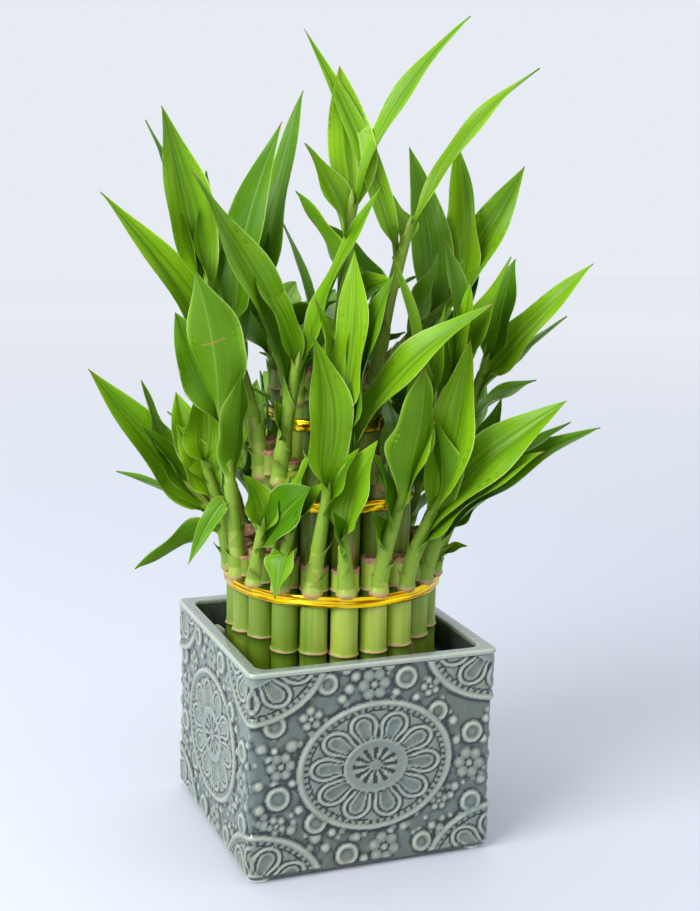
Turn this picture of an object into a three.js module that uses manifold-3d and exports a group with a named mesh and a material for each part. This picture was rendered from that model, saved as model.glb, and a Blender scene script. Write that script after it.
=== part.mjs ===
// Lucky bamboo in a square glazed pot: three tied tiers of cut canes, each with one leafy shoot.
// Millimetres, +Z up. The origin is on the table, under the pot's centre.

import * as THREE from 'three';
import * as BufferGeometryUtils from 'three/addons/utils/BufferGeometryUtils.js';
import Module from 'manifold-3d';

const wasm = await Module();
wasm.setup();

// Driving dimensions of the pot
const POT_WIDTH = 120;
const POT_HEIGHT = 100;
const RELIEF_HEIGHT = 1.6;
const RIM_BAND_HEIGHT = 5;
const RIM_EDGE_RADIUS = 1.2;
const OUTER_CORNER_RADIUS = 2.5;
const INNER_HALF_WIDTH = 54.2;
const INNER_CORNER_RADIUS = 6;
const POT_FLOOR_THICKNESS = 7;

// Foot pads under the pot's corners
const PAD_RADIUS = 5;
const PAD_HEIGHT = 1.5;
const PAD_INSET = 7;

// The ornament: an oval medallion in the middle of each face and a quarter of one in each corner
const MEDALLION_HALF_WIDTH = 37.5;
const MEDALLION_HALF_HEIGHT = 32;
const MEDALLION_PETALS = 10;
const MEDALLION_RING_START = 0.88;
const MEDALLION_DISC = 0.36;
const PETAL_START = 0.42;
const PETAL_END = 0.84;
const PETAL_FULLNESS = 0.72;
const CORNER_ARC_RADIUS = 33;
const CORNER_ARC_BAND = 4;

// Touching pieces keep this gap
const GAP = 0.3;

// Pebble bed
const BED_LAYER_TOP = 20;
const BED_CORNER_TOP = 84;
const PEBBLES_PER_CORNER = 2;
const PEBBLE_SIZES = [4, 5.5];
const PEBBLE_SPACING = 13;
const PEBBLE_REACH = [59, 61];
const PEBBLE_LIFT = [-1.5, 0.5];
const HOLE_SIDES = 24;

// Canes, shoots and leaves
const CANE_RADIUS = 6.35;
const CANE_SIDES = 7;
const NODE_SWELL = 0.6;
const NODE_HALF = 1.8;
const CANE_TOP_TAPER = 0.3;
const SHOOT_SIDES = 5;
const SHOOT_BASE_RADIUS = 4.1;
const SHOOT_ROOT_DEPTH = 2;
const SHOOT_RISE = 0.35;
const SHOOT_START_LEAN = 0.02;
const SHOOT_THINNING = [[0, 1], [0.55, 0.85], [1, 0.6]];
const BLADE_WIDEST = 0.48;
const BLADE_FOOT = 0.38;
const ROOT_OFFSET = 1;
const CHORD_SHARE = 0.25;
const BLADE_FOLD = 0.12;
const KEEL_DEPTH = 0.6;
const BLADE_STEPS = 4;
const SHORT_BLADE = 78;
const SHORT_BLADE_STEPS = 3;
const LEAVES_PER_STALK = 4;
const LEAVES_PER_SHOWN_STALK = 3;

// The three tiers: ring radius, number of canes, the first cane's direction in degrees from +X,
// and the heights of the lower nodes, the tie, the shoot's node and the sawn top
const TIERS = {
  outer: { radius: 44.3, count: 20, first: 257, lowNode: 104, tie: 125.5, node: 131, top: 142 },
  middle: { radius: 31, count: 13, first: 233, tie: 166, node: 177, top: 188 },
  inner: { radius: 17.4, count: 7, first: 199, tie: 200, node: 213, top: 224 },
};
const TIE_HEIGHT = 5.5;
const TIE_THICKNESS = 0.8;
const TIE_BENDS = 8;

// The tenth cane of the middle ring is as tall as the inner ones and stands inside the inner tie
const TALL_MIDDLE_CANE = 9;

// Shoots that show from the front. Each leaf is given by how far up the shoot it leaves, its turn
// from the stalk's outward direction, its tilt from upright, its length, width and roll, and its arch.
const leaf = (at, turn, tilt, length, width, roll = 0, arch = 0.4) => (
  { at, turn, tilt, length, width, roll, arch }
);
const shoot = (turn, lean, height, ...leaves) => ({ turn, lean, height, leaves });

const SHOWN_SHOOTS = {
  inner: {
    0: shoot(
      95, 3, 22,
      leaf(0.95, -100, 75, 34, 16, 10),
      leaf(0.8, -150, 70, 38, 17, 20),
      leaf(0.6, -190, 65, 36, 16, -10),
    ),
    1: shoot(
      90, 3, 90,
      leaf(0.95, -145, 8, 67, 20, -36, 0.35),
      leaf(0.78, -65, 22, 55, 18, -50),
      leaf(0.93, 95, 29, 104, 11, 30, 0.52),
      leaf(0.62, -92, 25, 51, 14, 30),
      leaf(0.5, 45, 54, 35, 18, 55),
    ),
    2: shoot(
      40, 10, 80,
      leaf(0.88, 175, 22, 35, 17, 10),
      leaf(0.95, 35, 36, 96, 11, 35, 0.5),
      leaf(0.84, 216, 23, 112, 10, -75, 0.2),
      leaf(0.5, -110, 30, 55, 17, -55),
    ),
    3: shoot(
      -15, 35, 55,
      leaf(0.95, -15, 2, 77, 21, 50, 0.35),
      leaf(0.82, 111, 12, 82, 18, -30, 0.3),
      leaf(0.69, -5, 31, 92, 22, 45, 0.3),
      leaf(0.55, -60, 24, 50, 18, 65),
    ),
    6: shoot(
      15, 21, 45,
      leaf(0.78, -150, 7, 110, 19, 30, 0.3),
      leaf(0.6, -110, 11, 80, 18, -20),
      leaf(0.42, -15, 21, 66, 17, 0),
    ),
  },
  middle: {
    0: shoot(
      80, 12, 40,
      leaf(0.95, -40, 10, 50, 13, -60),
      leaf(0.76, 70, 8, 80, 17, 75),
      leaf(0.57, -95, 6, 110, 12, -5),
    ),
    1: shoot(
      -25, 19, 25,
      leaf(0.95, 30, 1, 85, 20, 90),
      leaf(0.75, 50, 14, 85, 19, 60),
      leaf(0.53, 55, 40, 100, 20, 45),
    ),
    2: shoot(
      5, 40, 20,
      leaf(0.95, -155, 6, 90, 18, -10),
      leaf(0.75, 65, 16, 75, 18, 20),
    ),
    3: shoot(
      5, 26, 50,
      leaf(0.95, 135, 6, 70, 18, 30),
      leaf(0.8, -10, 14, 60, 18, 60),
      leaf(0.65, 30, 25, 85, 18, 20),
    ),
    4: shoot(
      -5, 21, 40,
      leaf(0.95, 130, 13, 75, 18, 5),
      leaf(0.77, -5, 15, 80, 18, 30),
    ),
    10: shoot(
      10, 18, 35,
      leaf(0.95, 150, 6, 70, 18, 85),
      leaf(0.75, -5, 10, 115, 18, -15),
      leaf(0.5, -135, 42, 20, 16, 0),
    ),
    11: shoot(
      -10, 16, 90,
      leaf(0.95, -35, 16, 90, 22, -45, 0.35),
      leaf(0.87, -85, 18, 70, 18, 40),
      leaf(0.79, 160, 13, 100, 20, 60, 0.15),
      leaf(0.7, -40, 23, 115, 19, -5, 0.35),
      leaf(0.61, -15, 39, 105, 20, -50, 0.1),
    ),
    12: shoot(
      90, 10, 55,
      leaf(0.95, -75, 25, 60, 18, -5),
      leaf(0.82, 125, 22, 100, 15, 30),
      leaf(0.68, -35, 22, 115, 24, -45),
      leaf(0.35, 20, 19, 25, 12, -85),
    ),
  },
  outer: {
    0: shoot(
      -60, 5, 30,
      leaf(0.75, 40, 18, 55, 20, 85),
      leaf(0.5, -45, 22, 30, 12, -70),
    ),
    1: shoot(
      40, 13, 45,
      leaf(0.95, -20, 12, 65, 22, 25, 0.5),
      leaf(0.79, 55, 19, 50, 16, 35),
      leaf(0.62, -75, 16, 45, 15, -60),
      leaf(0.45, -65, 23, 25, 14, -70),
    ),
    2: shoot(
      25, 19, 40,
      leaf(0.95, -50, 6, 45, 18, -45, 0.35),
      leaf(0.78, 15, 12, 90, 23, 80),
      leaf(0.58, 35, 42, 95, 22, 55, 0.45),
      leaf(0.39, 30, 46, 80, 20, 35, 0.35),
    ),
    3: shoot(
      20, 22, 45,
      leaf(0.95, 50, 22, 50, 18, 5),
      leaf(0.79, 35, 51, 70, 15, 5),
      leaf(0.6, 30, 48, 40, 18, 20),
      leaf(0.42, 30, 52, 95, 20, 20, 0.35),
    ),
    4: shoot(
      0, 19, 25,
      leaf(0.95, 50, 10, 50, 18, -15),
      leaf(0.75, 5, 41, 35, 16, 25),
      leaf(0.2, -5, 55, 18, 9, 20),
    ),
    5: shoot(
      -25, 13, 100,
      leaf(0.97, -10, 13, 56, 18, 45),
      leaf(0.95, -25, 41, 75, 18, 60, 0.05),
      leaf(0.81, 0, 44, 65, 14, 10),
      leaf(0.72, 10, 56, 45, 14, 5),
    ),
    13: shoot(
      40, 13, 40,
      leaf(0.95, -120, 11, 35, 19, 20),
      leaf(0.78, -15, 14, 55, 18, 10),
    ),
    14: shoot(
      15, 31, 40,
      leaf(0.95, -15, 29, 60, 16, 10),
      leaf(0.78, 25, 37, 50, 18, -45, 0.3),
      leaf(0.59, 10, 40, 95, 26, -50, 0.1),
      leaf(0.4, 10, 60, 60, 14, -5),
    ),
    15: shoot(
      5, 14, 50,
      leaf(0.95, 45, 2, 45, 20, -120, 0.35),
      leaf(0.8, -25, 22, 50, 17, -60),
      leaf(0.66, 10, 26, 45, 16, -80),
      leaf(0.4, 5, 110, 45, 18, 45, 0.25),
    ),
    16: shoot(
      -10, 6, 80,
      leaf(0.95, 25, 14, 70, 26, 20),
      leaf(0.87, -35, 22, 60, 22, -60),
      leaf(0.6, 95, 9, 55, 18, 25),
      leaf(0.5, 0, 142, 34, 9, -40),
    ),
    17: shoot(
      100, 8, 25,
      leaf(0.95, -5, 17, 30, 16, -80, 0.5),
      leaf(0.75, 180, 22, 35, 18, -15),
      leaf(0.5, 110, 38, 50, 24, 60, 0.5),
    ),
    18: shoot(
      85, 8, 30,
      leaf(0.95, 165, 17, 35, 16, -20),
      leaf(0.8, 105, 32, 35, 14, 30),
      leaf(0.6, 0, 150, 20, 16, 10, 0.8),
    ),
    19: shoot(
      75, 8, 45,
      leaf(0.95, -65, 5, 76, 22, -70),
      leaf(0.78, 70, 25, 40, 16, 45),
    ),
  },
};

// Shoots and leaves that do not show are drawn from these ranges; the crown's far side is FAR_SIDE
const HIDDEN = {
  outer: { lean: [14, 30], height: [30, 60], topTilt: 16, leafLength: [48, 72] },
  middle: { lean: [10, 22], height: [20, 38], topTilt: 26, leafLength: [40, 60] },
  inner: { lean: [4, 14], height: [18, 30], topTilt: 50, leafLength: [34, 46] },
};
const FAR_SIDE = 68;
const LEAF_TURN_STEP = 140;
const DRAWN_LEAF = {
  lowest: 0.35,
  highest: 0.95,
  lowTilt: 52,
  farTurn: [-45, 45],
  tilt: [-8, 8],
  width: [16, 21],
  roll: [-35, 35],
};

// How far one stalk may differ from the next in its tier
const VARIATION = {
  node: [-2, 2],
  lowNode: [-2, 3],
  turn: [-15, 15],
  top: [-3, 3],
  topLean: [-0.1, 0.1],
  spin: [0, Math.PI / 4],
};

// Half the crown's width along X and along Y: it spreads as far to either side of the pot
const CROWN_HALF_WIDTH = 112;
const CROWN_HALF_DEPTH = 85;

// The front stalks with the leaves that show most keep them as they grew; the others give way
const FIRST_PLACED = ['stalk_middle_2', 'stalk_middle_13', 'stalk_outer_20'];

// A leaf that would cross its neighbours is bent aside by the first of these steps that clears them
const TURN_STEPS = [0, 7, -7, 14, -14, 21, -21, 28, -28, 36, -36, 45, -45];
const TILT_STEPS = [0, -5, 6, -10, 12, 20];
const LENGTH_STEPS = [1, 0.85, 0.7];
const CLEARANCE = 0.3;

// Small helpers
const UP = new THREE.Vector3(0, 0, 1);
const radians = (degrees) => (degrees * Math.PI) / 180;
const heading = (degrees) => (
  new THREE.Vector3(Math.cos(radians(degrees)), Math.sin(radians(degrees)), 0)
);
const direction = (azimuth, tilt) => (
  heading(azimuth).multiplyScalar(Math.sin(radians(tilt))).addScaledVector(UP, Math.cos(radians(tilt)))
);

// Seeded draws between 0 and 1
function drawsFrom(seed) {
  let state = seed >>> 0;
  return () => {
    state = (Math.imul(state, 1664525) + 1013904223) >>> 0;
    return state / 4294967296;
  };
}
const between = (draw, [low, high]) => low + (high - low) * draw();

// A closed geometry as a solid: shared vertices merged, triangles without area dropped
function solidOf(geometry) {
  const bare = geometry.clone();
  bare.deleteAttribute('normal');
  bare.deleteAttribute('uv');
  const merged = BufferGeometryUtils.mergeVertices(bare, 1e-4);
  const triangles = [];
  for (let i = 0; i < merged.index.count; i += 3) {
    const [a, b, c] = [0, 1, 2].map((k) => merged.index.getX(i + k));
    if (a !== b && b !== c && c !== a) triangles.push(a, b, c);
  }
  return new wasm.Manifold(new wasm.Mesh({
    numProp: 3,
    vertProperties: new Float32Array(merged.attributes.position.array),
    triVerts: new Uint32Array(triangles),
  }));
}

function geometryOf(solid) {
  const mesh = solid.getMesh();
  const geometry = new THREE.BufferGeometry();
  geometry.setAttribute('position', new THREE.BufferAttribute(mesh.vertProperties, 3));
  geometry.setIndex(new THREE.BufferAttribute(mesh.triVerts, 1));
  geometry.computeVertexNormals();
  return geometry;
}

// Rings of equal vertex counts joined into one closed skin; the last ring may be a single point
function skin(rings) {
  const positions = rings.flat().flatMap((point) => point.toArray());
  const starts = rings.map((_, i) => rings.slice(0, i).reduce((sum, ring) => sum + ring.length, 0));
  const triangles = [];
  const last = rings.length - 1;
  for (let i = 0; i < last; i += 1) {
    const sides = rings[i].length;
    const high = rings[i + 1].length;
    for (let k = 0; k < sides; k += 1) {
      const next = (k + 1) % sides;
      const [a, b] = [starts[i] + k, starts[i] + next];
      const [c, d] = high === 1 ? [starts[i + 1], starts[i + 1]] : [starts[i + 1] + k, starts[i + 1] + next];
      if (high === 1) triangles.push(a, b, c);
      else triangles.push(a, b, d, a, d, c);
    }
  }
  for (let k = 1; k < rings[0].length - 1; k += 1) {
    triangles.push(starts[0], starts[0] + k + 1, starts[0] + k);
  }
  for (let k = 1; k < rings[last].length - 1; k += 1) {
    triangles.push(starts[last], starts[last] + k, starts[last] + k + 1);
  }
  const geometry = new THREE.BufferGeometry();
  geometry.setAttribute('position', new THREE.Float32BufferAttribute(positions, 3));
  geometry.setIndex(triangles);
  return geometry;
}

// A square with rounded corners, as a shape
function roundedSquare(half, radius) {
  const shape = new THREE.Shape();
  const corners = [[1, -1, -90], [1, 1, 0], [-1, 1, 90], [-1, -1, 180]];
  for (const [x, y, start] of corners) {
    shape.absarc(x * (half - radius), y * (half - radius), radius, radians(start), radians(start + 90));
  }
  shape.closePath();
  return shape;
}

function prism(shape, low, high, curveSegments = 1) {
  const geometry = new THREE.ExtrudeGeometry(shape, { depth: high - low, bevelEnabled: false, curveSegments });
  return geometry.translate(0, 0, low);
}

// The pot

function ovalShape(halfWidth, halfHeight) {
  return new THREE.Shape().absellipse(0, 0, halfWidth, halfHeight, 0, 2 * Math.PI);
}

// One petal of a medallion, pointing along the given angle
function petalShape(angle) {
  const spread = Math.PI / MEDALLION_PETALS;
  const middle = (PETAL_START + 2 * PETAL_END) / 3;
  const at = (fraction, turn) => new THREE.Vector2(
    fraction * MEDALLION_HALF_WIDTH * Math.cos(angle + turn),
    fraction * MEDALLION_HALF_HEIGHT * Math.sin(angle + turn),
  );
  return new THREE.Shape([
    at(PETAL_START, 0),
    at(middle, -PETAL_FULLNESS * spread),
    at(PETAL_END, 0),
    at(middle, PETAL_FULLNESS * spread),
  ]);
}

function ringShape(halfWidth, halfHeight, innerFraction) {
  const shape = ovalShape(halfWidth, halfHeight);
  shape.holes.push(new THREE.Path().absellipse(
    0, 0, halfWidth * innerFraction, halfHeight * innerFraction, 0, 2 * Math.PI, true,
  ));
  return shape;
}

// A quarter band round a face's corner, with its two ends on the face's edges
function cornerBand(cornerX, cornerY) {
  const outer = CORNER_ARC_RADIUS;
  const inner = CORNER_ARC_RADIUS - CORNER_ARC_BAND;
  const start = Math.atan2(-cornerY, -cornerX) - Math.PI / 4;
  const shape = new THREE.Shape();
  shape.absarc(cornerX, cornerY, outer, start, start + Math.PI / 2, false);
  shape.absarc(cornerX, cornerY, inner, start + Math.PI / 2, start, true);
  shape.closePath();
  return shape;
}

// The raised ornament of one face, as solids in the face's own plane
function faceOrnament() {
  const bottom = PAD_HEIGHT + GAP;
  const top = POT_HEIGHT - RIM_BAND_HEIGHT;
  const halfHeight = (top - bottom) / 2;
  const halfWidth = POT_WIDTH / 2;
  const raised = (shape, segments) => solidOf(prism(shape, -1, RELIEF_HEIGHT, segments));
  const solids = [
    raised(ringShape(MEDALLION_HALF_WIDTH, MEDALLION_HALF_HEIGHT, MEDALLION_RING_START), 9),
    raised(ovalShape(MEDALLION_HALF_WIDTH * MEDALLION_DISC, MEDALLION_HALF_HEIGHT * MEDALLION_DISC), 4),
  ];
  for (let k = 0; k < MEDALLION_PETALS; k += 1) {
    const angle = (2 * Math.PI * k) / MEDALLION_PETALS;
    solids.push(raised(petalShape(angle)));
  }
  for (const x of [-halfWidth, halfWidth]) {
    for (const y of [-halfHeight, halfHeight]) solids.push(raised(cornerBand(x, y), 2));
  }
  return { solids, middleHeight: (top + bottom) / 2 };
}

function potGeometry() {
  const half = POT_WIDTH / 2;
  const bottom = PAD_HEIGHT + GAP;
  const bandBottom = POT_HEIGHT - RIM_BAND_HEIGHT;
  const envelope = solidOf(prism(roundedSquare(half, OUTER_CORNER_RADIUS), bottom, POT_HEIGHT));
  const faceHalf = half - RELIEF_HEIGHT;
  let pot = solidOf(prism(roundedSquare(faceHalf, OUTER_CORNER_RADIUS), bottom, bandBottom + 1));
  const ornament = faceOrnament();
  for (let side = 0; side < 4; side += 1) {
    for (const solid of ornament.solids) {
      const place = new THREE.Matrix4().makeRotationZ((side * Math.PI) / 2)
        .multiply(new THREE.Matrix4().makeTranslation(0, -faceHalf, ornament.middleHeight))
        .multiply(new THREE.Matrix4().makeRotationX(Math.PI / 2));
      pot = pot.add(solid.transform(place.elements));
    }
  }
  pot = pot.intersect(envelope);
  const band = prism(roundedSquare(half, OUTER_CORNER_RADIUS), bandBottom, POT_HEIGHT - RIM_EDGE_RADIUS);
  pot = pot.add(solidOf(band));
  const lip = new THREE.ExtrudeGeometry(roundedSquare(half - RIM_EDGE_RADIUS, OUTER_CORNER_RADIUS), {
    depth: 1, bevelSize: RIM_EDGE_RADIUS, bevelThickness: RIM_EDGE_RADIUS, bevelSegments: 1, curveSegments: 1,
  });
  pot = pot.add(solidOf(lip.translate(0, 0, POT_HEIGHT - RIM_EDGE_RADIUS - 1)));
  const inside = prism(
    roundedSquare(INNER_HALF_WIDTH, INNER_CORNER_RADIUS),
    bottom + POT_FLOOR_THICKNESS,
    POT_HEIGHT + 1,
    2,
  );
  return geometryOf(pot.subtract(solidOf(inside)));
}

// The pebble bed: a layer under the canes and heaped corners round the plain hole they stand in
function pebbleBedGeometry() {
  const half = INNER_HALF_WIDTH - GAP;
  const low = PAD_HEIGHT + GAP + POT_FLOOR_THICKNESS + GAP;
  let bed = solidOf(prism(roundedSquare(half, INNER_CORNER_RADIUS), low, BED_CORNER_TOP, 2));
  const draw = drawsFrom(7);
  for (const corner of [45, 135, 225, 315]) {
    for (let k = 0; k < PEBBLES_PER_CORNER; k += 1) {
      const size = between(draw, PEBBLE_SIZES);
      const along = (k - (PEBBLES_PER_CORNER - 1) / 2) * PEBBLE_SPACING;
      const pebble = new THREE.IcosahedronGeometry(size, 0);
      pebble.scale(1, 1, 0.8);
      pebble.rotateZ(between(draw, [0, Math.PI]));
      const spot = heading(corner).multiplyScalar(between(draw, PEBBLE_REACH));
      spot.addScaledVector(heading(corner + 90), along);
      pebble.translate(spot.x, spot.y, BED_CORNER_TOP + between(draw, PEBBLE_LIFT));
      bed = bed.add(solidOf(pebble));
    }
  }
  bed = bed.intersect(solidOf(prism(roundedSquare(half, INNER_CORNER_RADIUS), low, POT_HEIGHT, 2)));
  const holeRadius = (TIERS.outer.radius + CANE_RADIUS + GAP) / Math.cos(Math.PI / HOLE_SIDES);
  const hole = new THREE.CylinderGeometry(holeRadius, holeRadius, POT_HEIGHT, HOLE_SIDES);
  hole.rotateX(Math.PI / 2).translate(0, 0, BED_LAYER_TOP + POT_HEIGHT / 2);
  return geometryOf(bed.subtract(solidOf(hole)));
}

// Canes and ties

// A cane with swollen nodes, standing in the pebbles, its sawn top leaning a little
function caneGeometry(place) {
  const r = CANE_RADIUS;
  const profile = [[0, BED_LAYER_TOP + GAP], [r, BED_LAYER_TOP + GAP]];
  const [shootNode, ...lowerNodes] = [...place.nodes].reverse();
  for (const node of lowerNodes) {
    profile.push([r, node - NODE_HALF], [r + NODE_SWELL, node], [r, node + NODE_HALF]);
  }
  profile.push([r, shootNode - NODE_HALF], [r + NODE_SWELL, shootNode]);
  profile.push([r - CANE_TOP_TAPER, place.top], [0, place.top]);
  const points = profile.map(([x, y]) => new THREE.Vector2(x, y));
  const cane = new THREE.LatheGeometry(points, CANE_SIDES);
  cane.rotateX(Math.PI / 2);
  const slope = place.topLean.clone();
  const position = cane.attributes.position;
  for (let i = 0; i < position.count; i += 1) {
    const spot = new THREE.Vector3().fromBufferAttribute(position, i);
    if (spot.z > place.top - 0.1) position.setZ(i, spot.z + spot.dot(slope));
  }
  cane.rotateZ(place.spin);
  return cane.translate(place.centre.x, place.centre.y, 0);
}

// The outline of a ribbon pulled tight round round canes: the hull of points spread round each
function hullRound(centres, radius) {
  const points = [];
  for (const centre of centres) {
    const outward = Math.atan2(centre.y, centre.x);
    for (let k = 0; k < TIE_BENDS; k += 1) {
      const angle = outward + (2 * Math.PI * k) / TIE_BENDS;
      points.push(new THREE.Vector2(centre.x + radius * Math.cos(angle), centre.y + radius * Math.sin(angle)));
    }
  }
  points.sort((a, b) => a.x - b.x || a.y - b.y);
  const side = (list) => {
    const chain = [];
    for (const point of list) {
      while (chain.length > 1) {
        const [a, b] = chain.slice(-2);
        if ((b.x - a.x) * (point.y - a.y) - (b.y - a.y) * (point.x - a.x) > 1e-6) break;
        chain.pop();
      }
      chain.push(point);
    }
    return chain.slice(0, -1);
  };
  return [...side(points), ...side([...points].reverse())];
}

function tieGeometry(centres, height) {
  const reach = (CANE_RADIUS + NODE_SWELL / 2 + GAP) / Math.cos(Math.PI / TIE_BENDS);
  const shape = new THREE.Shape(hullRound(centres, reach + TIE_THICKNESS));
  shape.holes.push(new THREE.Path(hullRound(centres, reach).reverse()));
  return prism(shape, height - TIE_HEIGHT / 2, height + TIE_HEIGHT / 2);
}

// Shoots and leaves

// A shoot rises from the cane's side at its node and thins among its leaves
function shootPath(place) {
  const azimuth = place.azimuth + place.shoot.turn;
  const root = place.centre.clone().addScaledVector(heading(place.azimuth), CANE_RADIUS - SHOOT_ROOT_DEPTH);
  root.z = place.shootHeight;
  const chord = direction(azimuth, place.shoot.lean);
  const bow = root.clone().addScaledVector(UP, SHOOT_RISE * place.shoot.height);
  bow.addScaledVector(heading(azimuth), SHOOT_START_LEAN * place.shoot.height);
  const top = root.clone().addScaledVector(chord, place.shoot.height);
  return new THREE.QuadraticBezierCurve3(root, bow, top);
}

function shootGeometry(path) {
  const rings = SHOOT_THINNING.map(([t, thickness]) => {
    const along = path.getTangent(t);
    const across = new THREE.Vector3().crossVectors(along, new THREE.Vector3(1, 0, 0)).normalize();
    const other = new THREE.Vector3().crossVectors(along, across);
    const centre = path.getPoint(t);
    return Array.from({ length: SHOOT_SIDES }, (_, k) => {
      const angle = (2 * Math.PI * k) / SHOOT_SIDES;
      return centre.clone()
        .addScaledVector(across, SHOOT_BASE_RADIUS * thickness * Math.cos(angle))
        .addScaledVector(other, SHOOT_BASE_RADIUS * thickness * Math.sin(angle));
    });
  });
  return skin(rings);
}

// Half of a blade's width a fraction of the way along: a narrow foot, a full middle, a short point
function halfWidth(t, width) {
  const past = (t - BLADE_WIDEST) / (1 - BLADE_WIDEST);
  const rise = THREE.MathUtils.smoothstep(t, 0, BLADE_WIDEST);
  const blade = past < 0 ? BLADE_FOOT + (1 - BLADE_FOOT) * rise : (1 - past) ** 0.85 * (1 + 0.85 * past);
  return 0.5 * width * blade;
}

// A blade: a shallow keeled section swept along the leaf's arch. It grows by `swell` all round.
function bladeGeometry(path, stalkAzimuth, blade, swell = 0) {
  const azimuth = stalkAzimuth + blade.turn;
  const chord = direction(azimuth, blade.tilt);
  const root = path.getPoint(blade.at).addScaledVector(heading(azimuth), ROOT_OFFSET);
  const start = path.getTangent(blade.at).lerp(chord, CHORD_SHARE);
  const bow = root.clone().addScaledVector(start, blade.arch * blade.length);
  const tip = root.clone().addScaledVector(chord, blade.length + 2 * swell);
  const arch = new THREE.QuadraticBezierCurve3(root, bow, tip);
  const rings = [];
  const steps = blade.length < SHORT_BLADE ? SHORT_BLADE_STEPS : BLADE_STEPS;
  for (let i = 0; i < steps; i += 1) {
    const t = i / steps;
    const along = arch.getTangent(t);
    const side = heading(azimuth + 90);
    side.addScaledVector(along, -side.dot(along)).normalize();
    const above = new THREE.Vector3().crossVectors(along, side);
    side.applyAxisAngle(along, radians(blade.roll));
    above.applyAxisAngle(along, radians(blade.roll));
    const half = halfWidth(t, blade.width) + swell;
    const fold = BLADE_FOLD * half;
    const section = [
      [half, fold + swell],
      [-half, fold + swell],
      [-half, fold - swell],
      [0, -KEEL_DEPTH - swell],
      [half, fold - swell],
    ];
    rings.push(section.map(([x, y]) => arch.getPoint(t).addScaledVector(side, x).addScaledVector(above, y)));
  }
  rings.push([tip]);
  return skin(rings);
}

// The stalks: where each stands, and its shoot

function stalkPlaces() {
  const places = [];
  let seed = 100;
  for (const [tierName, tier] of Object.entries(TIERS)) {
    for (let k = 0; k < tier.count; k += 1) {
      seed += 1;
      const draw = drawsFrom(seed);
      const azimuth = tier.first + (360 * k) / tier.count;
      const tall = tierName === 'middle' && k === TALL_MIDDLE_CANE;
      const heights = tall ? TIERS.inner : tier;
      const node = heights.node + between(draw, VARIATION.node);
      const nodes = tierName === 'outer' ? [tier.lowNode + between(draw, VARIATION.lowNode), node] : [node];
      const ranges = HIDDEN[tall ? 'inner' : tierName];
      const drawnTurn = between(draw, VARIATION.turn);
      const drawn = shoot(drawnTurn, between(draw, ranges.lean), between(draw, ranges.height));
      const shown = SHOWN_SHOOTS[tierName][k];
      places.push({
        name: `stalk_${tierName}_${k + 1}`,
        azimuth,
        centre: heading(azimuth).multiplyScalar(tier.radius),
        nodes,
        top: heights.top + between(draw, VARIATION.top),
        topLean: new THREE.Vector3(between(draw, VARIATION.topLean), between(draw, VARIATION.topLean), 0),
        spin: between(draw, VARIATION.spin),
        shootHeight: node - 1,
        shoot: shown ?? drawn,
        leaves: [...(shown ? shown.leaves : [])],
        shown: Boolean(shown),
        ranges,
        draw,
      });
    }
  }
  return places;
}

// Leaves that do not show fill each shoot, on its far side where its near side is already given
function drawLeaves(place) {
  const leaves = [];
  const wanted = place.shown ? LEAVES_PER_SHOWN_STALK : LEAVES_PER_STALK;
  const missing = wanted - place.leaves.length;
  const start = between(place.draw, [0, 360]);
  for (let k = 0; k < missing; k += 1) {
    const share = k / Math.max(missing - 1, 1);
    const spiral = start + LEAF_TURN_STEP * k;
    const farTurn = FAR_SIDE - place.azimuth + between(place.draw, DRAWN_LEAF.farTurn);
    const turn = place.shown ? farTurn : spiral;
    const { lowest, highest, lowTilt } = DRAWN_LEAF;
    leaves.push(leaf(
      lowest + (highest - lowest) * share,
      turn,
      lowTilt + (place.ranges.topTilt - lowTilt) * share + between(place.draw, DRAWN_LEAF.tilt),
      between(place.draw, place.ranges.leafLength),
      between(place.draw, DRAWN_LEAF.width),
      between(place.draw, DRAWN_LEAF.roll),
    ));
  }
  return leaves;
}

const places = stalkPlaces();

const material = (color, roughness, metalness = 0) => (
  new THREE.MeshStandardMaterial({ color, roughness, metalness })
);
const GLAZE = material(0x6f7f7a, 0.25);
const PAD = material(0xe4e6e2, 0.4);
const PEBBLE = material(0xa89a86, 0.8);
const FOIL = material(0xe0a81c, 0.25, 0.9);
const BAMBOO = material(0x6da52a, 0.4);

const group = new THREE.Group();
function addPiece(name, geometry, look) {
  const mesh = new THREE.Mesh(geometry, look);
  mesh.name = name;
  group.add(mesh);
  return mesh;
}

addPiece('pot', potGeometry(), GLAZE);
const padSpot = POT_WIDTH / 2 - PAD_INSET;
[[-1, -1], [1, -1], [1, 1], [-1, 1]].forEach(([x, y], k) => {
  const pad = new THREE.CylinderGeometry(PAD_RADIUS, PAD_RADIUS, PAD_HEIGHT, 12);
  pad.rotateX(Math.PI / 2);
  const mesh = addPiece(`foot_pad_${k + 1}`, pad, PAD);
  mesh.position.set(x * padSpot, y * padSpot, PAD_HEIGHT / 2);
});
addPiece('pebble_bed', pebbleBedGeometry(), PEBBLE);

const centresOf = (tierName) => (
  places.filter((place) => place.name.startsWith(`stalk_${tierName}`)).map((place) => place.centre)
);
const tallCane = places.find((place) => place.name === `stalk_middle_${TALL_MIDDLE_CANE + 1}`);
const ties = {
  tie_outer: tieGeometry(centresOf('outer'), TIERS.outer.tie),
  tie_middle: tieGeometry(centresOf('middle'), TIERS.middle.tie),
  tie_inner: tieGeometry([...centresOf('inner'), tallCane.centre], TIERS.inner.tie),
};
for (const [name, geometry] of Object.entries(ties)) addPiece(name, geometry, FOIL);

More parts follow.
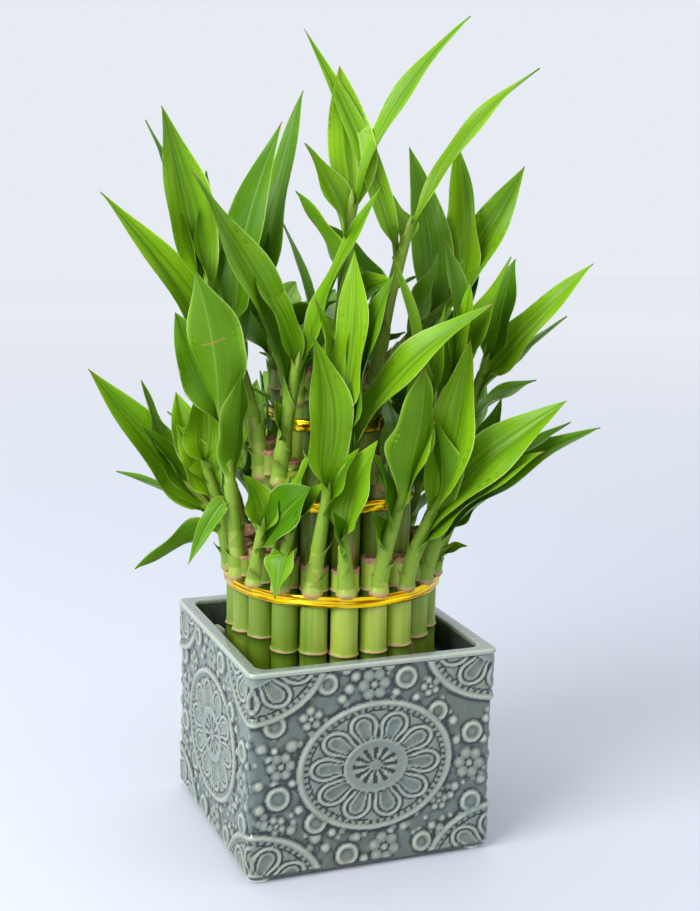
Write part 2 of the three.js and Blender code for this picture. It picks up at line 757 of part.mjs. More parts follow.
// Every cane with its shoot first, so that each leaf can be bent clear of all that stands before it
const standing = group.children
  .filter((mesh) => mesh.name !== 'pebble_bed' && !mesh.name.startsWith('foot_pad'))
  .map((mesh) => ({ name: mesh.name, solid: solidOf(mesh.geometry) }));
for (const place of places) {
  place.path = shootPath(place);
  place.solid = solidOf(caneGeometry(place)).add(solidOf(shootGeometry(place.path)));
  standing.push({ name: place.name, solid: place.solid });
}
for (const entry of standing) entry.box = entry.solid.boundingBox();

const boxesMeet = (a, b) => [0, 1, 2].every((k) => a.min[k] < b.max[k] && b.min[k] < a.max[k]);
function crosses(solid, name) {
  const box = solid.boundingBox();
  return standing.some((other) => (
    other.name !== name && boxesMeet(box, other.box) && !solid.intersect(other.solid).isEmpty()
  ));
}

function insideCrown(solid) {
  const { min, max } = solid.boundingBox();
  return Math.max(-min[0], max[0]) < CROWN_HALF_WIDTH && Math.max(-min[1], max[1]) < CROWN_HALF_DEPTH;
}

function placeLeaf(place, blade) {
  for (const scale of LENGTH_STEPS) {
    for (const tiltStep of TILT_STEPS) {
      for (const turnStep of TURN_STEPS) {
        const tried = {
          ...blade,
          turn: blade.turn + turnStep,
          tilt: blade.tilt + tiltStep,
          roll: blade.roll - turnStep * Math.cos(radians(blade.tilt)),
          length: blade.length * scale,
        };
        const swollen = solidOf(bladeGeometry(place.path, place.azimuth, tried, CLEARANCE));
        if (insideCrown(swollen) && !crosses(swollen, place.name)) {
          const solid = solidOf(bladeGeometry(place.path, place.azimuth, tried));
          standing.push({ name: place.name, solid, box: solid.boundingBox() });
          place.solid = place.solid.add(solid);
          return true;
        }
      }
    }
  }
  return false;
}

const byPlacing = [...places].sort((a, b) => (
  FIRST_PLACED.includes(b.name) - FIRST_PLACED.includes(a.name)
));
for (const place of byPlacing) {
  for (const blade of place.leaves) placeLeaf(place, blade);
}
for (const place of places) {
  for (const blade of drawLeaves(place)) placeLeaf(place, blade);
}
for (const place of places) addPiece(place.name, geometryOf(place.solid), BAMBOO);

export default group;
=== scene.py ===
import math
from collections import namedtuple

import bpy
import numpy as np
from bpy.props import FloatProperty, FloatVectorProperty, IntProperty, PointerProperty
from mathutils import Matrix, Vector


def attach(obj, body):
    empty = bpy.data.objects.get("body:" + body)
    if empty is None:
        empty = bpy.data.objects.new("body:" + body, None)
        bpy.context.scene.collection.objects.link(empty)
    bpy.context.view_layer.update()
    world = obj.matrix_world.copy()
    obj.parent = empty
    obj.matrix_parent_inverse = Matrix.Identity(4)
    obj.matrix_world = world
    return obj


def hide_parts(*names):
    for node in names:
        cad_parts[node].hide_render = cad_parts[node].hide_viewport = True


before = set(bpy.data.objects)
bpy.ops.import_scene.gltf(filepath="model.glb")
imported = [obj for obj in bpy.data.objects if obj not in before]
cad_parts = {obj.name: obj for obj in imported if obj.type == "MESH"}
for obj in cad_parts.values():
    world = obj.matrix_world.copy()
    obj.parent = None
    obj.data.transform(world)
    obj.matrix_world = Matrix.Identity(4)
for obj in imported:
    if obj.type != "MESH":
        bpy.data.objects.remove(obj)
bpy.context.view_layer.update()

bl_info = {
    "name": "Lucky bamboo in a square pot",
    "version": (1, 0, 0),
    "blender": (4, 5, 0),
    "location": "3D View > Sidebar > Bamboo",
    "description": "Dresses the three-tiered lucky bamboo, its ties, pebbles and glazed pot",
    "category": "Object",
}

# Everything below is in millimetres and degrees, except inside trees of nodes, which are in metres.
MM = 0.001

# The pot, as its solid has it
FACE_HALF = 59.0
FACE_CORNER = 2.5
RELIEF = 1.7
POT_BOTTOM = 1.8
POT_TOP = 100.0
STRIP_START = 97.4
INNER_HALF = 54.2
INNER_CORNER = 6.0
INNER_FLOOR = 8.8
PAD_SPOT = 53.0
BED_LOW = 9.1
BED_HALF = 53.9
BED_TOP = 84.0
BED_LAYER_TOP = 20.0
BED_HOLE_RADIUS = 51.4

# The canes, their shoots and leaves, as the solids have them
CANE_RADIUS = 6.35
CANE_FOOT = 20.3
SHOOT_RADIUS = 4.1
SHOOT_ROOT_DEPTH = 2.0
SHOOT_RISE = 0.35
SHOOT_START_LEAN = 0.02
SHOOT_THINNING = ((0.0, 0.3, 1.0), (1.0, 0.85, 0.42))
ROOT_OFFSET = 1.0
CHORD_SHARE = 0.25
LEAVES_PER_STALK = 4
LEAVES_PER_SHOWN_STALK = 3
FAR_SIDE = 68
LOW_TILT = 52
LEAF_TURN_STEP = 140
TURN_STEPS = (0, 7, -7, 14, -14, 21, -21, 28, -28, 36, -36, 45, -45)
TILT_STEPS = (0, -5, 6, -10, 12, 20)
LENGTH_STEPS = (1, 0.85, 0.7)
TIP_TOLERANCE = 0.05
BRACTS = (0.14, 0.3, 0.46)
FIRST_SEED = 101
TIERS = {
    "outer": {
        "radius": 44.3, "count": 20, "first": 257, "low_node": 104, "tie": 125.5, "node": 131, "top": 142,
    },
    "middle": {"radius": 31, "count": 13, "first": 233, "tie": 166, "node": 177, "top": 188},
    "inner": {"radius": 17.4, "count": 7, "first": 199, "tie": 200, "node": 213, "top": 224},
}
TALL_MIDDLE_CANE = 9
TIE_GAP = 0.6
TIE_HEIGHT = 5.5
TIE_THICKNESS = 0.8
HIDDEN = {
    "outer": {"lean": (14, 30), "height": (30, 60), "top_tilt": 16, "leaf_length": (48, 72)},
    "middle": {"lean": (10, 22), "height": (20, 38), "top_tilt": 26, "leaf_length": (40, 60)},
    "inner": {"lean": (4, 14), "height": (18, 30), "top_tilt": 50, "leaf_length": (34, 46)},
}

# A shoot: its turn from the stalk's outward direction, its lean from upright, its height, its leaves.
# A leaf: how far up the shoot it leaves, its turn, its tilt from upright, its length, width, roll, arch.
Shoot = namedtuple("Shoot", "turn lean height leaves")
Leaf = namedtuple("Leaf", "at turn tilt length width roll arch")


def shoot(turn, lean, height, *leaves):
    """One shoot and its leaves."""
    return Shoot(turn, lean, height, leaves)


def leaf(at, turn, tilt, length, width, roll=0.0, arch=0.4):
    """One leaf, flat and evenly arched where nothing else is said."""
    return Leaf(at, turn, tilt, length, width, roll, arch)


SHOWN_SHOOTS = {
    "inner": {
        0: shoot(
            95, 3, 22,
            leaf(0.95, -100, 75, 34, 16, 10),
            leaf(0.8, -150, 70, 38, 17, 20),
            leaf(0.6, -190, 65, 36, 16, -10),
        ),
        1: shoot(
            90, 3, 90,
            leaf(0.95, -145, 8, 67, 20, -36, 0.35),
            leaf(0.78, -65, 22, 55, 18, -50),
            leaf(0.93, 95, 29, 104, 11, 30, 0.52),
            leaf(0.62, -92, 25, 51, 14, 30),
            leaf(0.5, 45, 54, 35, 18, 55),
        ),
        2: shoot(
            40, 10, 80,
            leaf(0.88, 175, 22, 35, 17, 10),
            leaf(0.95, 35, 36, 96, 11, 35, 0.5),
            leaf(0.84, 216, 23, 112, 10, -75, 0.2),
            leaf(0.5, -110, 30, 55, 17, -55),
        ),
        3: shoot(
            -15, 35, 55,
            leaf(0.95, -15, 2, 77, 21, 50, 0.35),
            leaf(0.82, 111, 12, 82, 18, -30, 0.3),
            leaf(0.69, -5, 31, 92, 22, 45, 0.3),
            leaf(0.55, -60, 24, 50, 18, 65),
        ),
        6: shoot(
            15, 21, 45,
            leaf(0.78, -150, 7, 110, 19, 30, 0.3),
            leaf(0.6, -110, 11, 80, 18, -20),
            leaf(0.42, -15, 21, 66, 17, 0),
        ),
    },
    "middle": {
        0: shoot(
            80, 12, 40,
            leaf(0.95, -40, 10, 50, 13, -60),
            leaf(0.76, 70, 8, 80, 17, 75),
            leaf(0.57, -95, 6, 110, 12, -5),
        ),
        1: shoot(
            -25, 19, 25,
            leaf(0.95, 30, 1, 85, 20, 90),
            leaf(0.75, 50, 14, 85, 19, 60),
            leaf(0.53, 55, 40, 100, 20, 45),
        ),
        2: shoot(
            5, 40, 20,
            leaf(0.95, -155, 6, 90, 18, -10),
            leaf(0.75, 65, 16, 75, 18, 20),
        ),
        3: shoot(
            5, 26, 50,
            leaf(0.95, 135, 6, 70, 18, 30),
            leaf(0.8, -10, 14, 60, 18, 60),
            leaf(0.65, 30, 25, 85, 18, 20),
        ),
        4: shoot(
            -5, 21, 40,
            leaf(0.95, 130, 13, 75, 18, 5),
            leaf(0.77, -5, 15, 80, 18, 30),
        ),
        10: shoot(
            10, 18, 35,
            leaf(0.95, 150, 6, 70, 18, 85),
            leaf(0.75, -5, 10, 115, 18, -15),
            leaf(0.5, -135, 42, 20, 16, 0),
        ),
        11: shoot(
            -10, 16, 90,
            leaf(0.95, -35, 16, 90, 22, -45, 0.35),
            leaf(0.87, -85, 18, 70, 18, 40),
            leaf(0.79, 160, 13, 100, 20, 60, 0.15),
            leaf(0.7, -40, 23, 115, 19, -5, 0.35),
            leaf(0.61, -15, 39, 105, 20, -50, 0.1),
        ),
        12: shoot(
            90, 10, 55,
            leaf(0.95, -75, 25, 60, 18, -5),
            leaf(0.82, 125, 22, 100, 15, 30),
            leaf(0.68, -35, 22, 115, 24, -45),
            leaf(0.35, 20, 19, 25, 12, -85),
        ),
    },
    "outer": {
        0: shoot(
            -60, 5, 30,
            leaf(0.75, 40, 18, 55, 20, 85),
            leaf(0.5, -45, 22, 30, 12, -70),
        ),
        1: shoot(
            40, 13, 45,
            leaf(0.95, -20, 12, 65, 22, 25, 0.5),
            leaf(0.79, 55, 19, 50, 16, 35),
            leaf(0.62, -75, 16, 45, 15, -60),
            leaf(0.45, -65, 23, 25, 14, -70),
        ),
        2: shoot(
            25, 19, 40,
            leaf(0.95, -50, 6, 45, 18, -45, 0.35),
            leaf(0.78, 15, 12, 90, 23, 80),
            leaf(0.58, 35, 42, 95, 22, 55, 0.45),
            leaf(0.39, 30, 46, 80, 20, 35, 0.35),
        ),
        3: shoot(
            20, 22, 45,
            leaf(0.95, 50, 22, 50, 18, 5),
            leaf(0.79, 35, 51, 70, 15, 5),
            leaf(0.6, 30, 48, 40, 18, 20),
            leaf(0.42, 30, 52, 95, 20, 20, 0.35),
        ),
        4: shoot(
            0, 19, 25,
            leaf(0.95, 50, 10, 50, 18, -15),
            leaf(0.75, 5, 41, 35, 16, 25),
            leaf(0.2, -5, 55, 18, 9, 20),
        ),
        5: shoot(
            -25, 13, 100,
            leaf(0.97, -10, 13, 56, 18, 45),
            leaf(0.95, -25, 41, 75, 18, 60, 0.05),
            leaf(0.81, 0, 44, 65, 14, 10),
            leaf(0.72, 10, 56, 45, 14, 5),
        ),
        13: shoot(
            40, 13, 40,
            leaf(0.95, -120, 11, 35, 19, 20),
            leaf(0.78, -15, 14, 55, 18, 10),
        ),
        14: shoot(
            15, 31, 40,
            leaf(0.95, -15, 29, 60, 16, 10),
            leaf(0.78, 25, 37, 50, 18, -45, 0.3),
            leaf(0.59, 10, 40, 95, 26, -50, 0.1),
            leaf(0.4, 10, 60, 60, 14, -5),
        ),
        15: shoot(
            5, 14, 50,
            leaf(0.95, 45, 2, 45, 20, -120, 0.35),
            leaf(0.8, -25, 22, 50, 17, -60),
            leaf(0.66, 10, 26, 45, 16, -80),
            leaf(0.4, 5, 110, 45, 18, 45, 0.25),
        ),
        16: shoot(
            -10, 6, 80,
            leaf(0.95, 25, 14, 70, 26, 20),
            leaf(0.87, -35, 22, 60, 22, -60),
            leaf(0.6, 95, 9, 55, 18, 25),
            leaf(0.5, 0, 142, 34, 9, -40),
        ),
        17: shoot(
            100, 8, 25,
            leaf(0.95, -5, 17, 30, 16, -80, 0.5),
            leaf(0.75, 180, 22, 35, 18, -15),
            leaf(0.5, 110, 38, 50, 24, 60, 0.5),
        ),
        18: shoot(
            85, 8, 30,
            leaf(0.95, 165, 17, 35, 16, -20),
            leaf(0.8, 105, 32, 35, 14, 30),
            leaf(0.6, 0, 150, 20, 16, 10, 0.8),
        ),
        19: shoot(
            75, 8, 45,
            leaf(0.95, -65, 5, 76, 22, -70),
            leaf(0.78, 70, 25, 40, 16, 45),
        ),
    },
}


# Small helpers for places and shapes


def tint(code):
    """A colour written as the eye sees it, turned into the linear one that a shader takes."""
    parts = [int(code[k:k + 2], 16) / 255 for k in (1, 3, 5)]
    return tuple(c / 12.92 if c <= 0.04045 else ((c + 0.055) / 1.055) ** 2.4 for c in parts)


def draws_from(seed):
    """Seeded draws, the same ones that place the solids."""
    state = seed

    def draw(low=0.0, high=1.0):
        nonlocal state
        state = (state * 1664525 + 1013904223) % 4294967296
        return low + (high - low) * state / 4294967296
    return draw


def ease(value, low=0.0, high=1.0):
    """A smooth step from 0 at low to 1 at high."""
    share = np.clip((np.asarray(value, float) - low) / (high - low), 0, 1)
    return share * share * (3 - 2 * share)


def heading(degrees):
    """A level direction, one long."""
    angle = math.radians(degrees)
    return np.array((math.cos(angle), math.sin(angle), 0.0))


def direction(azimuth, tilt):
    """A direction at a turn and at a tilt from upright, one long."""
    angle = math.radians(tilt)
    return heading(azimuth) * math.sin(angle) + np.array((0, 0, math.cos(angle)))


def unit(vector):
    """The same directions, each one long."""
    return vector / np.linalg.norm(vector, axis=-1, keepdims=True)


def squared(vector, ahead):
    """The part of a vector that stands square to each direction ahead, one long."""
    return unit(vector - ahead * (ahead @ vector)[:, None])


class Arc:
    """A curve led by three points."""

    def __init__(self, start, bow, end):
        self.start, self.bow, self.end = start, bow, end
        self.span = np.linalg.norm(end - start)

    def point(self, t):
        t = np.asarray(t, float)[..., None]
        return (1 - t) ** 2 * self.start + 2 * t * (1 - t) * self.bow + t ** 2 * self.end

    def tangent(self, t):
        t = np.asarray(t, float)[..., None]
        return unit(2 * (1 - t) * (self.bow - self.start) + 2 * t * (self.end - self.bow))


def turned(vectors, axes, angles):
    """Vectors turned about axes that stand square to them."""
    cos, sin = np.cos(angles)[..., None], np.sin(angles)[..., None]
    return vectors * cos + np.cross(axes, vectors) * sin


# Trees of nodes


class Wire:
    """What comes out of a node. Sums with wires add the nodes that work them out."""

    def __init__(self, graph, socket):
        self.graph, self.socket = graph, socket

    def __add__(self, other):
        return self.graph.math("ADD", self, other)

    def __sub__(self, other):
        return self.graph.math("SUBTRACT", self, other)

    def __rsub__(self, other):
        return self.graph.math("SUBTRACT", other, self)

    def __mul__(self, other):
        return self.graph.math("MULTIPLY", self, other)

    def __truediv__(self, other):
        return self.graph.math("DIVIDE", self, other)

    def __gt__(self, limit):
        return self.graph.math("GREATER_THAN", self, limit)

    def __abs__(self):
        return self.graph.math("ABSOLUTE", self)

    __radd__, __rmul__ = __add__, __mul__

    def root(self):
        return self.graph.math("SQRT", self)

    def cos(self):
        return self.graph.math("COSINE", self)

    def sin(self):
        return self.graph.math("SINE", self)

    def fit(self, low, high, to_low=0.0, to_high=1.0, kind="SMOOTHSTEP"):
        """Moved from one range to another, smoothly unless another kind is asked for."""
        return self.graph.add("ShaderNodeMapRange", {
            "Value": self, "From Min": low, "From Max": high, "To Min": to_low, "To Max": to_high,
        }, interpolation_type=kind)


class Graph:
    """Adds nodes to a shader or geometry tree and joins them up."""

    def __init__(self, tree):
        self.tree = tree

    def node(self, kind, inputs=None, **settings):
        """A new node with its settings and inputs."""
        node = self.tree.nodes.new(kind)
        for name, value in settings.items():
            setattr(node, name, value)
        self.give(node, inputs or {})
        return node

    def add(self, kind, inputs=None, out=0, **settings):
        """What comes out of a new node."""
        return Wire(self, self.node(kind, inputs, **settings).outputs[out])

    def give(self, node, inputs):
        """Joins each wire to its input, or sets a plain value there."""
        for key, value in inputs.items():
            if isinstance(value, Wire):
                self.tree.links.new(value.socket, node.inputs[key])
            else:
                node.inputs[key].default_value = value

    def math(self, operation, *values):
        return self.add("ShaderNodeMath", dict(enumerate(values)), operation=operation)

    def added(self, vector, *others):
        """Vectors added up."""
        for other in others:
            vector = self.add("ShaderNodeVectorMath", {0: vector, 1: other}, operation="ADD")
        return vector

    def scaled(self, vector, amount):
        return self.add("ShaderNodeVectorMath", {0: vector, "Scale": amount}, operation="SCALE")

    def spot(self, x=0.0, y=0.0, z=0.0):
        """A vector of three numbers."""
        return self.add("ShaderNodeCombineXYZ", {0: x, 1: y, 2: z})

    def noise(self, vector, scale, detail=2.0, roughness=0.5):
        return self.add("ShaderNodeTexNoise", {
            "Vector": vector, "Scale": scale, "Detail": detail, "Roughness": roughness,
        })

    # Shader trees

    def stored(self, name):
        """A number stored on the mesh, as a shader reads it."""
        return self.add("ShaderNodeAttribute", attribute_name=name, out="Fac")

    def place(self, scale=(1, 1, 1)):
        """Object coordinates, stretched by a scale."""
        spot = self.add("ShaderNodeTexCoord", out="Object")
        return self.add("ShaderNodeMapping", {"Vector": spot, "Scale": scale})

    def mix(self, share, first, second):
        """One colour laid over another by a share from 0 to 1."""
        colours = (colour if isinstance(colour, Wire) else (*colour[:3], 1) for colour in (first, second))
        return self.add("ShaderNodeMix", {0: share, **dict(zip((6, 7), colours))}, out=2, data_type="RGBA")

    def layered(self, body, *layers):
        """A colour with others laid over it in turn, each by its share."""
        for share, over in layers:
            body = self.mix(share, body, over)
        return body

    def bump(self, height, distance, strength=1.0):
        """A normal raised by a height that is given in metres at 1."""
        return self.add("ShaderNodeBump", {"Height": height, "Distance": distance, "Strength": strength})

    # Geometry trees

    def named(self, name, kind="FLOAT"):
        """A number stored on the mesh, as a geometry tree reads it."""
        return self.add("GeometryNodeInputNamedAttribute", {"Name": name}, data_type=kind)

    def named_vector(self, name):
        return self.named(name, "FLOAT_VECTOR")

    def store(self, geometry, name, value):
        return self.add("GeometryNodeStoreNamedAttribute", {
            "Geometry": geometry, "Name": name, "Value": value,
        }, data_type="FLOAT", domain="POINT")

    def join(self, *geometries):
        node = self.node("GeometryNodeJoinGeometry")
        for geometry in geometries:
            self.give(node, {0: geometry})
        return Wire(self, node.outputs[0])

    def put(self, geometry, position):
        return self.add("GeometryNodeSetPosition", {"Geometry": geometry, "Position": position})

    def smooth(self, geometry):
        return self.add("GeometryNodeSetShadeSmooth", {"Geometry": geometry, "Shade Smooth": True})

    def sweep(self, chains, sides, caps=True):
        """A skin along chains of points, each of its points told how far round it stands, from 0 to 1."""
        circle = self.add("GeometryNodeCurvePrimitiveCircle", {"Resolution": sides, "Radius": 0.001})
        circle = self.store(circle, "round", self.add("GeometryNodeInputIndex") / sides)
        spine = self.add("GeometryNodeMeshToCurve", {"Mesh": chains})
        return self.add("GeometryNodeCurveToMesh", {
            "Curve": spine, "Profile Curve": circle, "Fill Caps": caps,
        })

    def random(self, low, high, seed):
        """A draw for each instance: a vector between two vectors, or else a number."""
        vector = isinstance(low, tuple)
        first, kind = (0, "FLOAT_VECTOR") if vector else (2, "FLOAT")
        return self.add("FunctionNodeRandomValue", {
            first: low, first + 1: high, "Seed": seed,
        }, out=0 if vector else 1, data_type=kind)


def surface(name):
    """A new material: its graph, its shader and itself."""
    material = bpy.data.materials.new(name)
    material.use_nodes = True
    material.node_tree.nodes.clear()
    graph = Graph(material.node_tree)
    shader = graph.node("ShaderNodeBsdfPrincipled")
    graph.node("ShaderNodeOutputMaterial", {"Surface": Wire(graph, shader.outputs[0])})
    return graph, shader, material


def geometry_tree(name, **kinds):
    """A new geometry tree with inputs of those kinds: its graph, what is given to it and its output."""
    tree = bpy.data.node_groups.new(name, "GeometryNodeTree")
    for label, kind in {"geometry": "Geometry", **kinds}.items():
        tree.interface.new_socket(label, in_out="INPUT", socket_type="NodeSocket" + kind)
    tree.interface.new_socket("Geometry", in_out="OUTPUT", socket_type="NodeSocketGeometry")
    graph = Graph(tree)
    outputs = graph.node("NodeGroupInput").outputs
    given = {label: Wire(graph, outputs[label]) for label in ("geometry", *kinds)}
    return graph, given, graph.node("NodeGroupOutput")


def finished(graph, geometry, sink, *finishes):
    """Ends a tree: instances made real, then each material set on its part, or everywhere."""
    last = graph.add("GeometryNodeRealizeInstances", {"Geometry": geometry})
    for material, part in finishes:
        inputs = {"Geometry": last, "Material": material}
        if part is not None:
            inputs["Selection"] = graph.math("COMPARE", graph.named("part"), part, 0.5)
        last = graph.add("GeometryNodeSetMaterial", inputs)
    graph.give(sink, {"Geometry": last})
    return graph.tree


def plain_mesh(name, points, faces=(), edges=(), **values):
    """A mesh in metres from points in millimetres, with numbers or vectors stored on its points."""
    mesh = bpy.data.meshes.new(name)
    mesh.from_pydata((np.asarray(points) * MM).tolist(), list(edges), list(faces))
    for label, numbers in values.items():
        numbers = np.asarray(numbers, np.float32)
        if numbers.ndim == 2:
            mesh.attributes.new(label, "FLOAT_VECTOR", "POINT").data.foreach_set("vector", numbers.ravel())
        else:
            mesh.attributes.new(label, "FLOAT", "POINT").data.foreach_set("value", numbers)
    return mesh


def skin_faces(rings, columns):
    """Faces of a closed skin: bands between rings of points, and a cap on the first and the last."""
    last = (rings - 1) * columns
    following = [(k, (k + 1) % columns) for k in range(columns)]
    bands = [
        (low + here, low + after, low + columns + after, low + columns + here)
        for low in range(0, last, columns) for here, after in following
    ]
    return [*bands, tuple(range(columns))[::-1], tuple(range(last, last + columns))]


def add_piece(name, mesh, slot, *nodes):
    """Shows a finished mesh as one piece that stands for its CAD nodes."""
    piece = bpy.data.objects.new(name, mesh)
    bpy.context.scene.collection.objects.link(piece)
    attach(piece, "root")
    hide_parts(*nodes)


def grow(name, guide, tree, **inputs):
    """The plain mesh that a geometry tree makes of a guide mesh."""
    grower = bpy.data.objects.new(name + "_guide", guide)
    bpy.context.scene.collection.objects.link(grower)
    modifier = grower.modifiers.new("Shape", "NODES")
    modifier.node_group = tree
    for item in tree.interface.items_tree:
        if item.item_type == "SOCKET" and item.in_out == "INPUT" and item.name in inputs:
            modifier[item.identifier] = inputs[item.name]
    evaluated = grower.evaluated_get(bpy.context.evaluated_depsgraph_get())
    mesh = bpy.data.meshes.new_from_object(evaluated)
    mesh.name = name
    grower.modifiers.clear()
    bpy.data.objects.remove(grower)
    bpy.data.meshes.remove(guide)
    return mesh


# The pot and its ornament

# Ornament of one face, from its middle (across) and the pot's foot (up): across, up, radius
MEDALLION = (0.6, 50.0, -3)
CORNER_MEDALLIONS = ((-61, 106, -57), (61.5, 106, -124), (-61, -7, 31), (64, -7, 133))
MEDALLION_HALF_WIDTH = 38.4
MEDALLION_HALF_HEIGHT = 31.3
PETALS = 10
PETAL_FOOT = 3.9
PETAL_RADIUS = 6.4
PETAL_CENTRE = 22.9
PETAL_RIB = 5.65
PETAL_CORE = 3.7
WEDGE_HEIGHT = 0.95
DISC_RADIUS = 14.7
RAYS = 12
NOTCHES = 60
# Shares of a medallion's reach: its rim, the notched band, the petals' end, the disc and its edge
OVAL_RIM, OVAL_BAND, PETALS_END, DISC, DISC_EDGE = 0.953, 0.88, 0.835, 0.425, 0.39
RAYS_FROM, RAYS_TO = 0.085, 0.285
BUTTONS = (
    (14.7, 90.7, 5.6), (-23.5, 91.5, 5), (-48.2, 74.5, 5.5), (-46.3, 40, 6), (-28, 26, 5.5),
    (-12.5, 8, 5.8), (25, 9, 5), (49.5, 25.5, 5.5), (49, 60.2, 5.5), (31, 72.5, 5),
)
BLOSSOMS = (
    (-45, 55, 7), (-1, 89, 8), (6, 9, 8), (48, 45, 8), (-31, 76, 6), (27, 85, 5), (33, 28, 5), (-47, 27, 5),
)
BEADS = (
    (-54.3, 64.5, 2.6), (-40, 64.2, 3), (-48.2, 62.8, 1.8), (-50.5, 59, 2.2), (-55.5, 47, 2.5),
    (-55, 35.5, 2.6), (-36.3, 33.2, 2.2), (-14.5, 97.2, 2.5), (-7, 98.2, 2), (6.5, 97.2, 2.8),
    (-16.3, 83.7, 2.3), (-13, 88, 2.5), (-10, 93.5, 2.5), (10, 84.2, 2.2), (20, 80.5, 2), (39, 67, 2.4),
    (41, 57, 2.3), (55, 56, 2.3), (56, 66, 2.2), (54.5, 36, 2.6), (41, 34, 2.4), (-20, 20, 2.2),
    (-8, 16, 2.4), (15.5, 18, 2.4), (9, 16.5, 2), (-4, 4.5, 2.4), (-28, 18.5, 3), (-23, 13, 2.5),
    (-45.5, 28.5, 2.5), (-52.5, 28, 2.8), (-40, 24, 2.5), (54, 44, 2.2), (-39.5, 46.5, 2), (-48, 47, 2.2),
    (30, 16, 2.2), (34, 14, 2.5), (39, 30, 2), (0, 97.5, 3),
)
GRAINS = 190
GRAIN_SEED = 21
# How high the ornament stands above the ground
GRAIN_HEIGHT, BEAD_HEIGHT, BUTTON_HEIGHT, BLOSSOM_HEIGHT = 0.95, 1.35, 1.5, 1.3
FACE_STEP = 0.73
CORNER_STEPS = 5


def rib(distance, half_width, height):
    """A rounded rib: full height on its middle line and none from half_width on."""
    return height * np.sqrt(np.clip(1 - (distance / half_width) ** 2, 0, 1))


def medallion(across, up, turn):
    """Heights of one oval medallion about its own middle, and where it lies."""
    x, y = across / MEDALLION_HALF_WIDTH, up / MEDALLION_HALF_HEIGHT
    reach = np.hypot(x, y)
    angle = np.arctan2(y, x)
    radius = reach * (MEDALLION_HALF_WIDTH + MEDALLION_HALF_HEIGHT) / 2
    height = 0.05 + rib(reach - OVAL_RIM, 0.05, 1.6)
    notches = 0.85 + 0.4 * np.cos(angle * NOTCHES)
    height = np.maximum(height, np.where(abs(reach - OVAL_BAND) < 0.026, notches, 0))
    # Petals: a rib round a dished core, each petal narrow at its foot and round at its end
    step = 2 * math.pi / PETALS
    side = abs((angle - math.radians(turn) + step / 2) % step - step / 2) * radius
    swell = PETAL_FOOT + (PETAL_RADIUS - PETAL_FOOT) * ease(radius, DISC_RADIUS, DISC_RADIUS + 8.2)
    away = np.where(radius < PETAL_CENTRE, side * PETAL_RADIUS / swell, np.hypot(radius - PETAL_CENTRE, side))
    core = np.where(away < PETAL_CORE, 0.6, 0) + rib(away - PETAL_CORE + 0.7, 0.9, 0.6)
    petal = np.maximum(rib(away - PETAL_RIB, 1.2, 1.5), core)
    wedge = WEDGE_HEIGHT * np.clip((away - 7.3) / 0.4, 0, 1) * (radius > 22) * (reach < PETALS_END)
    height = np.maximum(height, np.where(radius > DISC_RADIUS, np.maximum(petal, wedge), 0))
    # The disc in the middle, with its rays cut in
    slot_step = 2 * math.pi / RAYS
    slot = abs((angle + slot_step / 2) % slot_step - slot_step / 2) * radius
    slot_width = 0.45 + 0.65 * np.clip((reach - 0.09) / 0.17, 0, 1)
    cut = (reach > RAYS_FROM) & (reach < RAYS_TO) & (slot < slot_width)
    disc = np.where(cut, 0.0, np.where(reach < DISC - 0.01, 1.0, 0) + rib(reach - DISC_EDGE, 0.03, 0.35))
    return np.maximum(height, np.where(reach < DISC, disc, 0)), reach < 1.0


def ornament(across, up):
    """Heights of one face's ornament, in millimetres above its ground."""
    height = 0.3 * np.sin(across / 1.9 + np.sin(up / 2.3)) * np.sin(up / 1.7 + np.sin(across / 2.9))
    draw = draws_from(GRAIN_SEED)

    def bead(x, y, radius, top):
        return np.maximum(height, rib(np.hypot(across - x, up - y), radius, top))

    for _ in range(GRAINS):
        height = bead(draw(-60, 60), draw(3, 98), draw(1.1, 2.0), GRAIN_HEIGHT)
    for x, y, radius in BEADS:
        height = bead(x, y, radius, BEAD_HEIGHT)
    for x, y, radius in BUTTONS:
        away = np.hypot(across - x, up - y)
        middle = np.where(away < 0.6 * radius, 0.7, 0)
        cup = np.maximum(rib(away - 0.76 * radius, 1.35, BUTTON_HEIGHT), middle)
        height = np.where(away < radius + 0.9, cup, height)
    for x, y, radius in BLOSSOMS:
        petals = 6 if radius > 6 else 5
        height = np.where(np.hypot(across - x, up - y) < radius * 0.9, 0.1, height)
        for k in range(petals):
            angle = 2 * math.pi * k / petals + x
            out, over = 0.62 * radius * math.cos(angle), 0.62 * radius * math.sin(angle)
            height = bead(x + out, y + over, 0.37 * radius, BLOSSOM_HEIGHT)
        height = bead(x, y, 0.25 * radius, BLOSSOM_HEIGHT + 0.1)
    for x, y, turn in (*CORNER_MEDALLIONS, MEDALLION):
        raised, inside = medallion(across - x, up - y, turn)
        height = np.where(inside, raised, height)
    return height


def soften(field, steps, weight=0.25):
    """Blurs a closed band of heights a little, as running glaze does."""
    for _ in range(steps):
        field = (1 - 2 * weight) * field + weight * (np.roll(field, 1, 1) + np.roll(field, -1, 1))
        above = np.vstack((field[1:], field[-1:]))
        below = np.vstack((field[:1], field[:-1]))
        field = (1 - 2 * weight) * field + weight * (above + below)
    return field


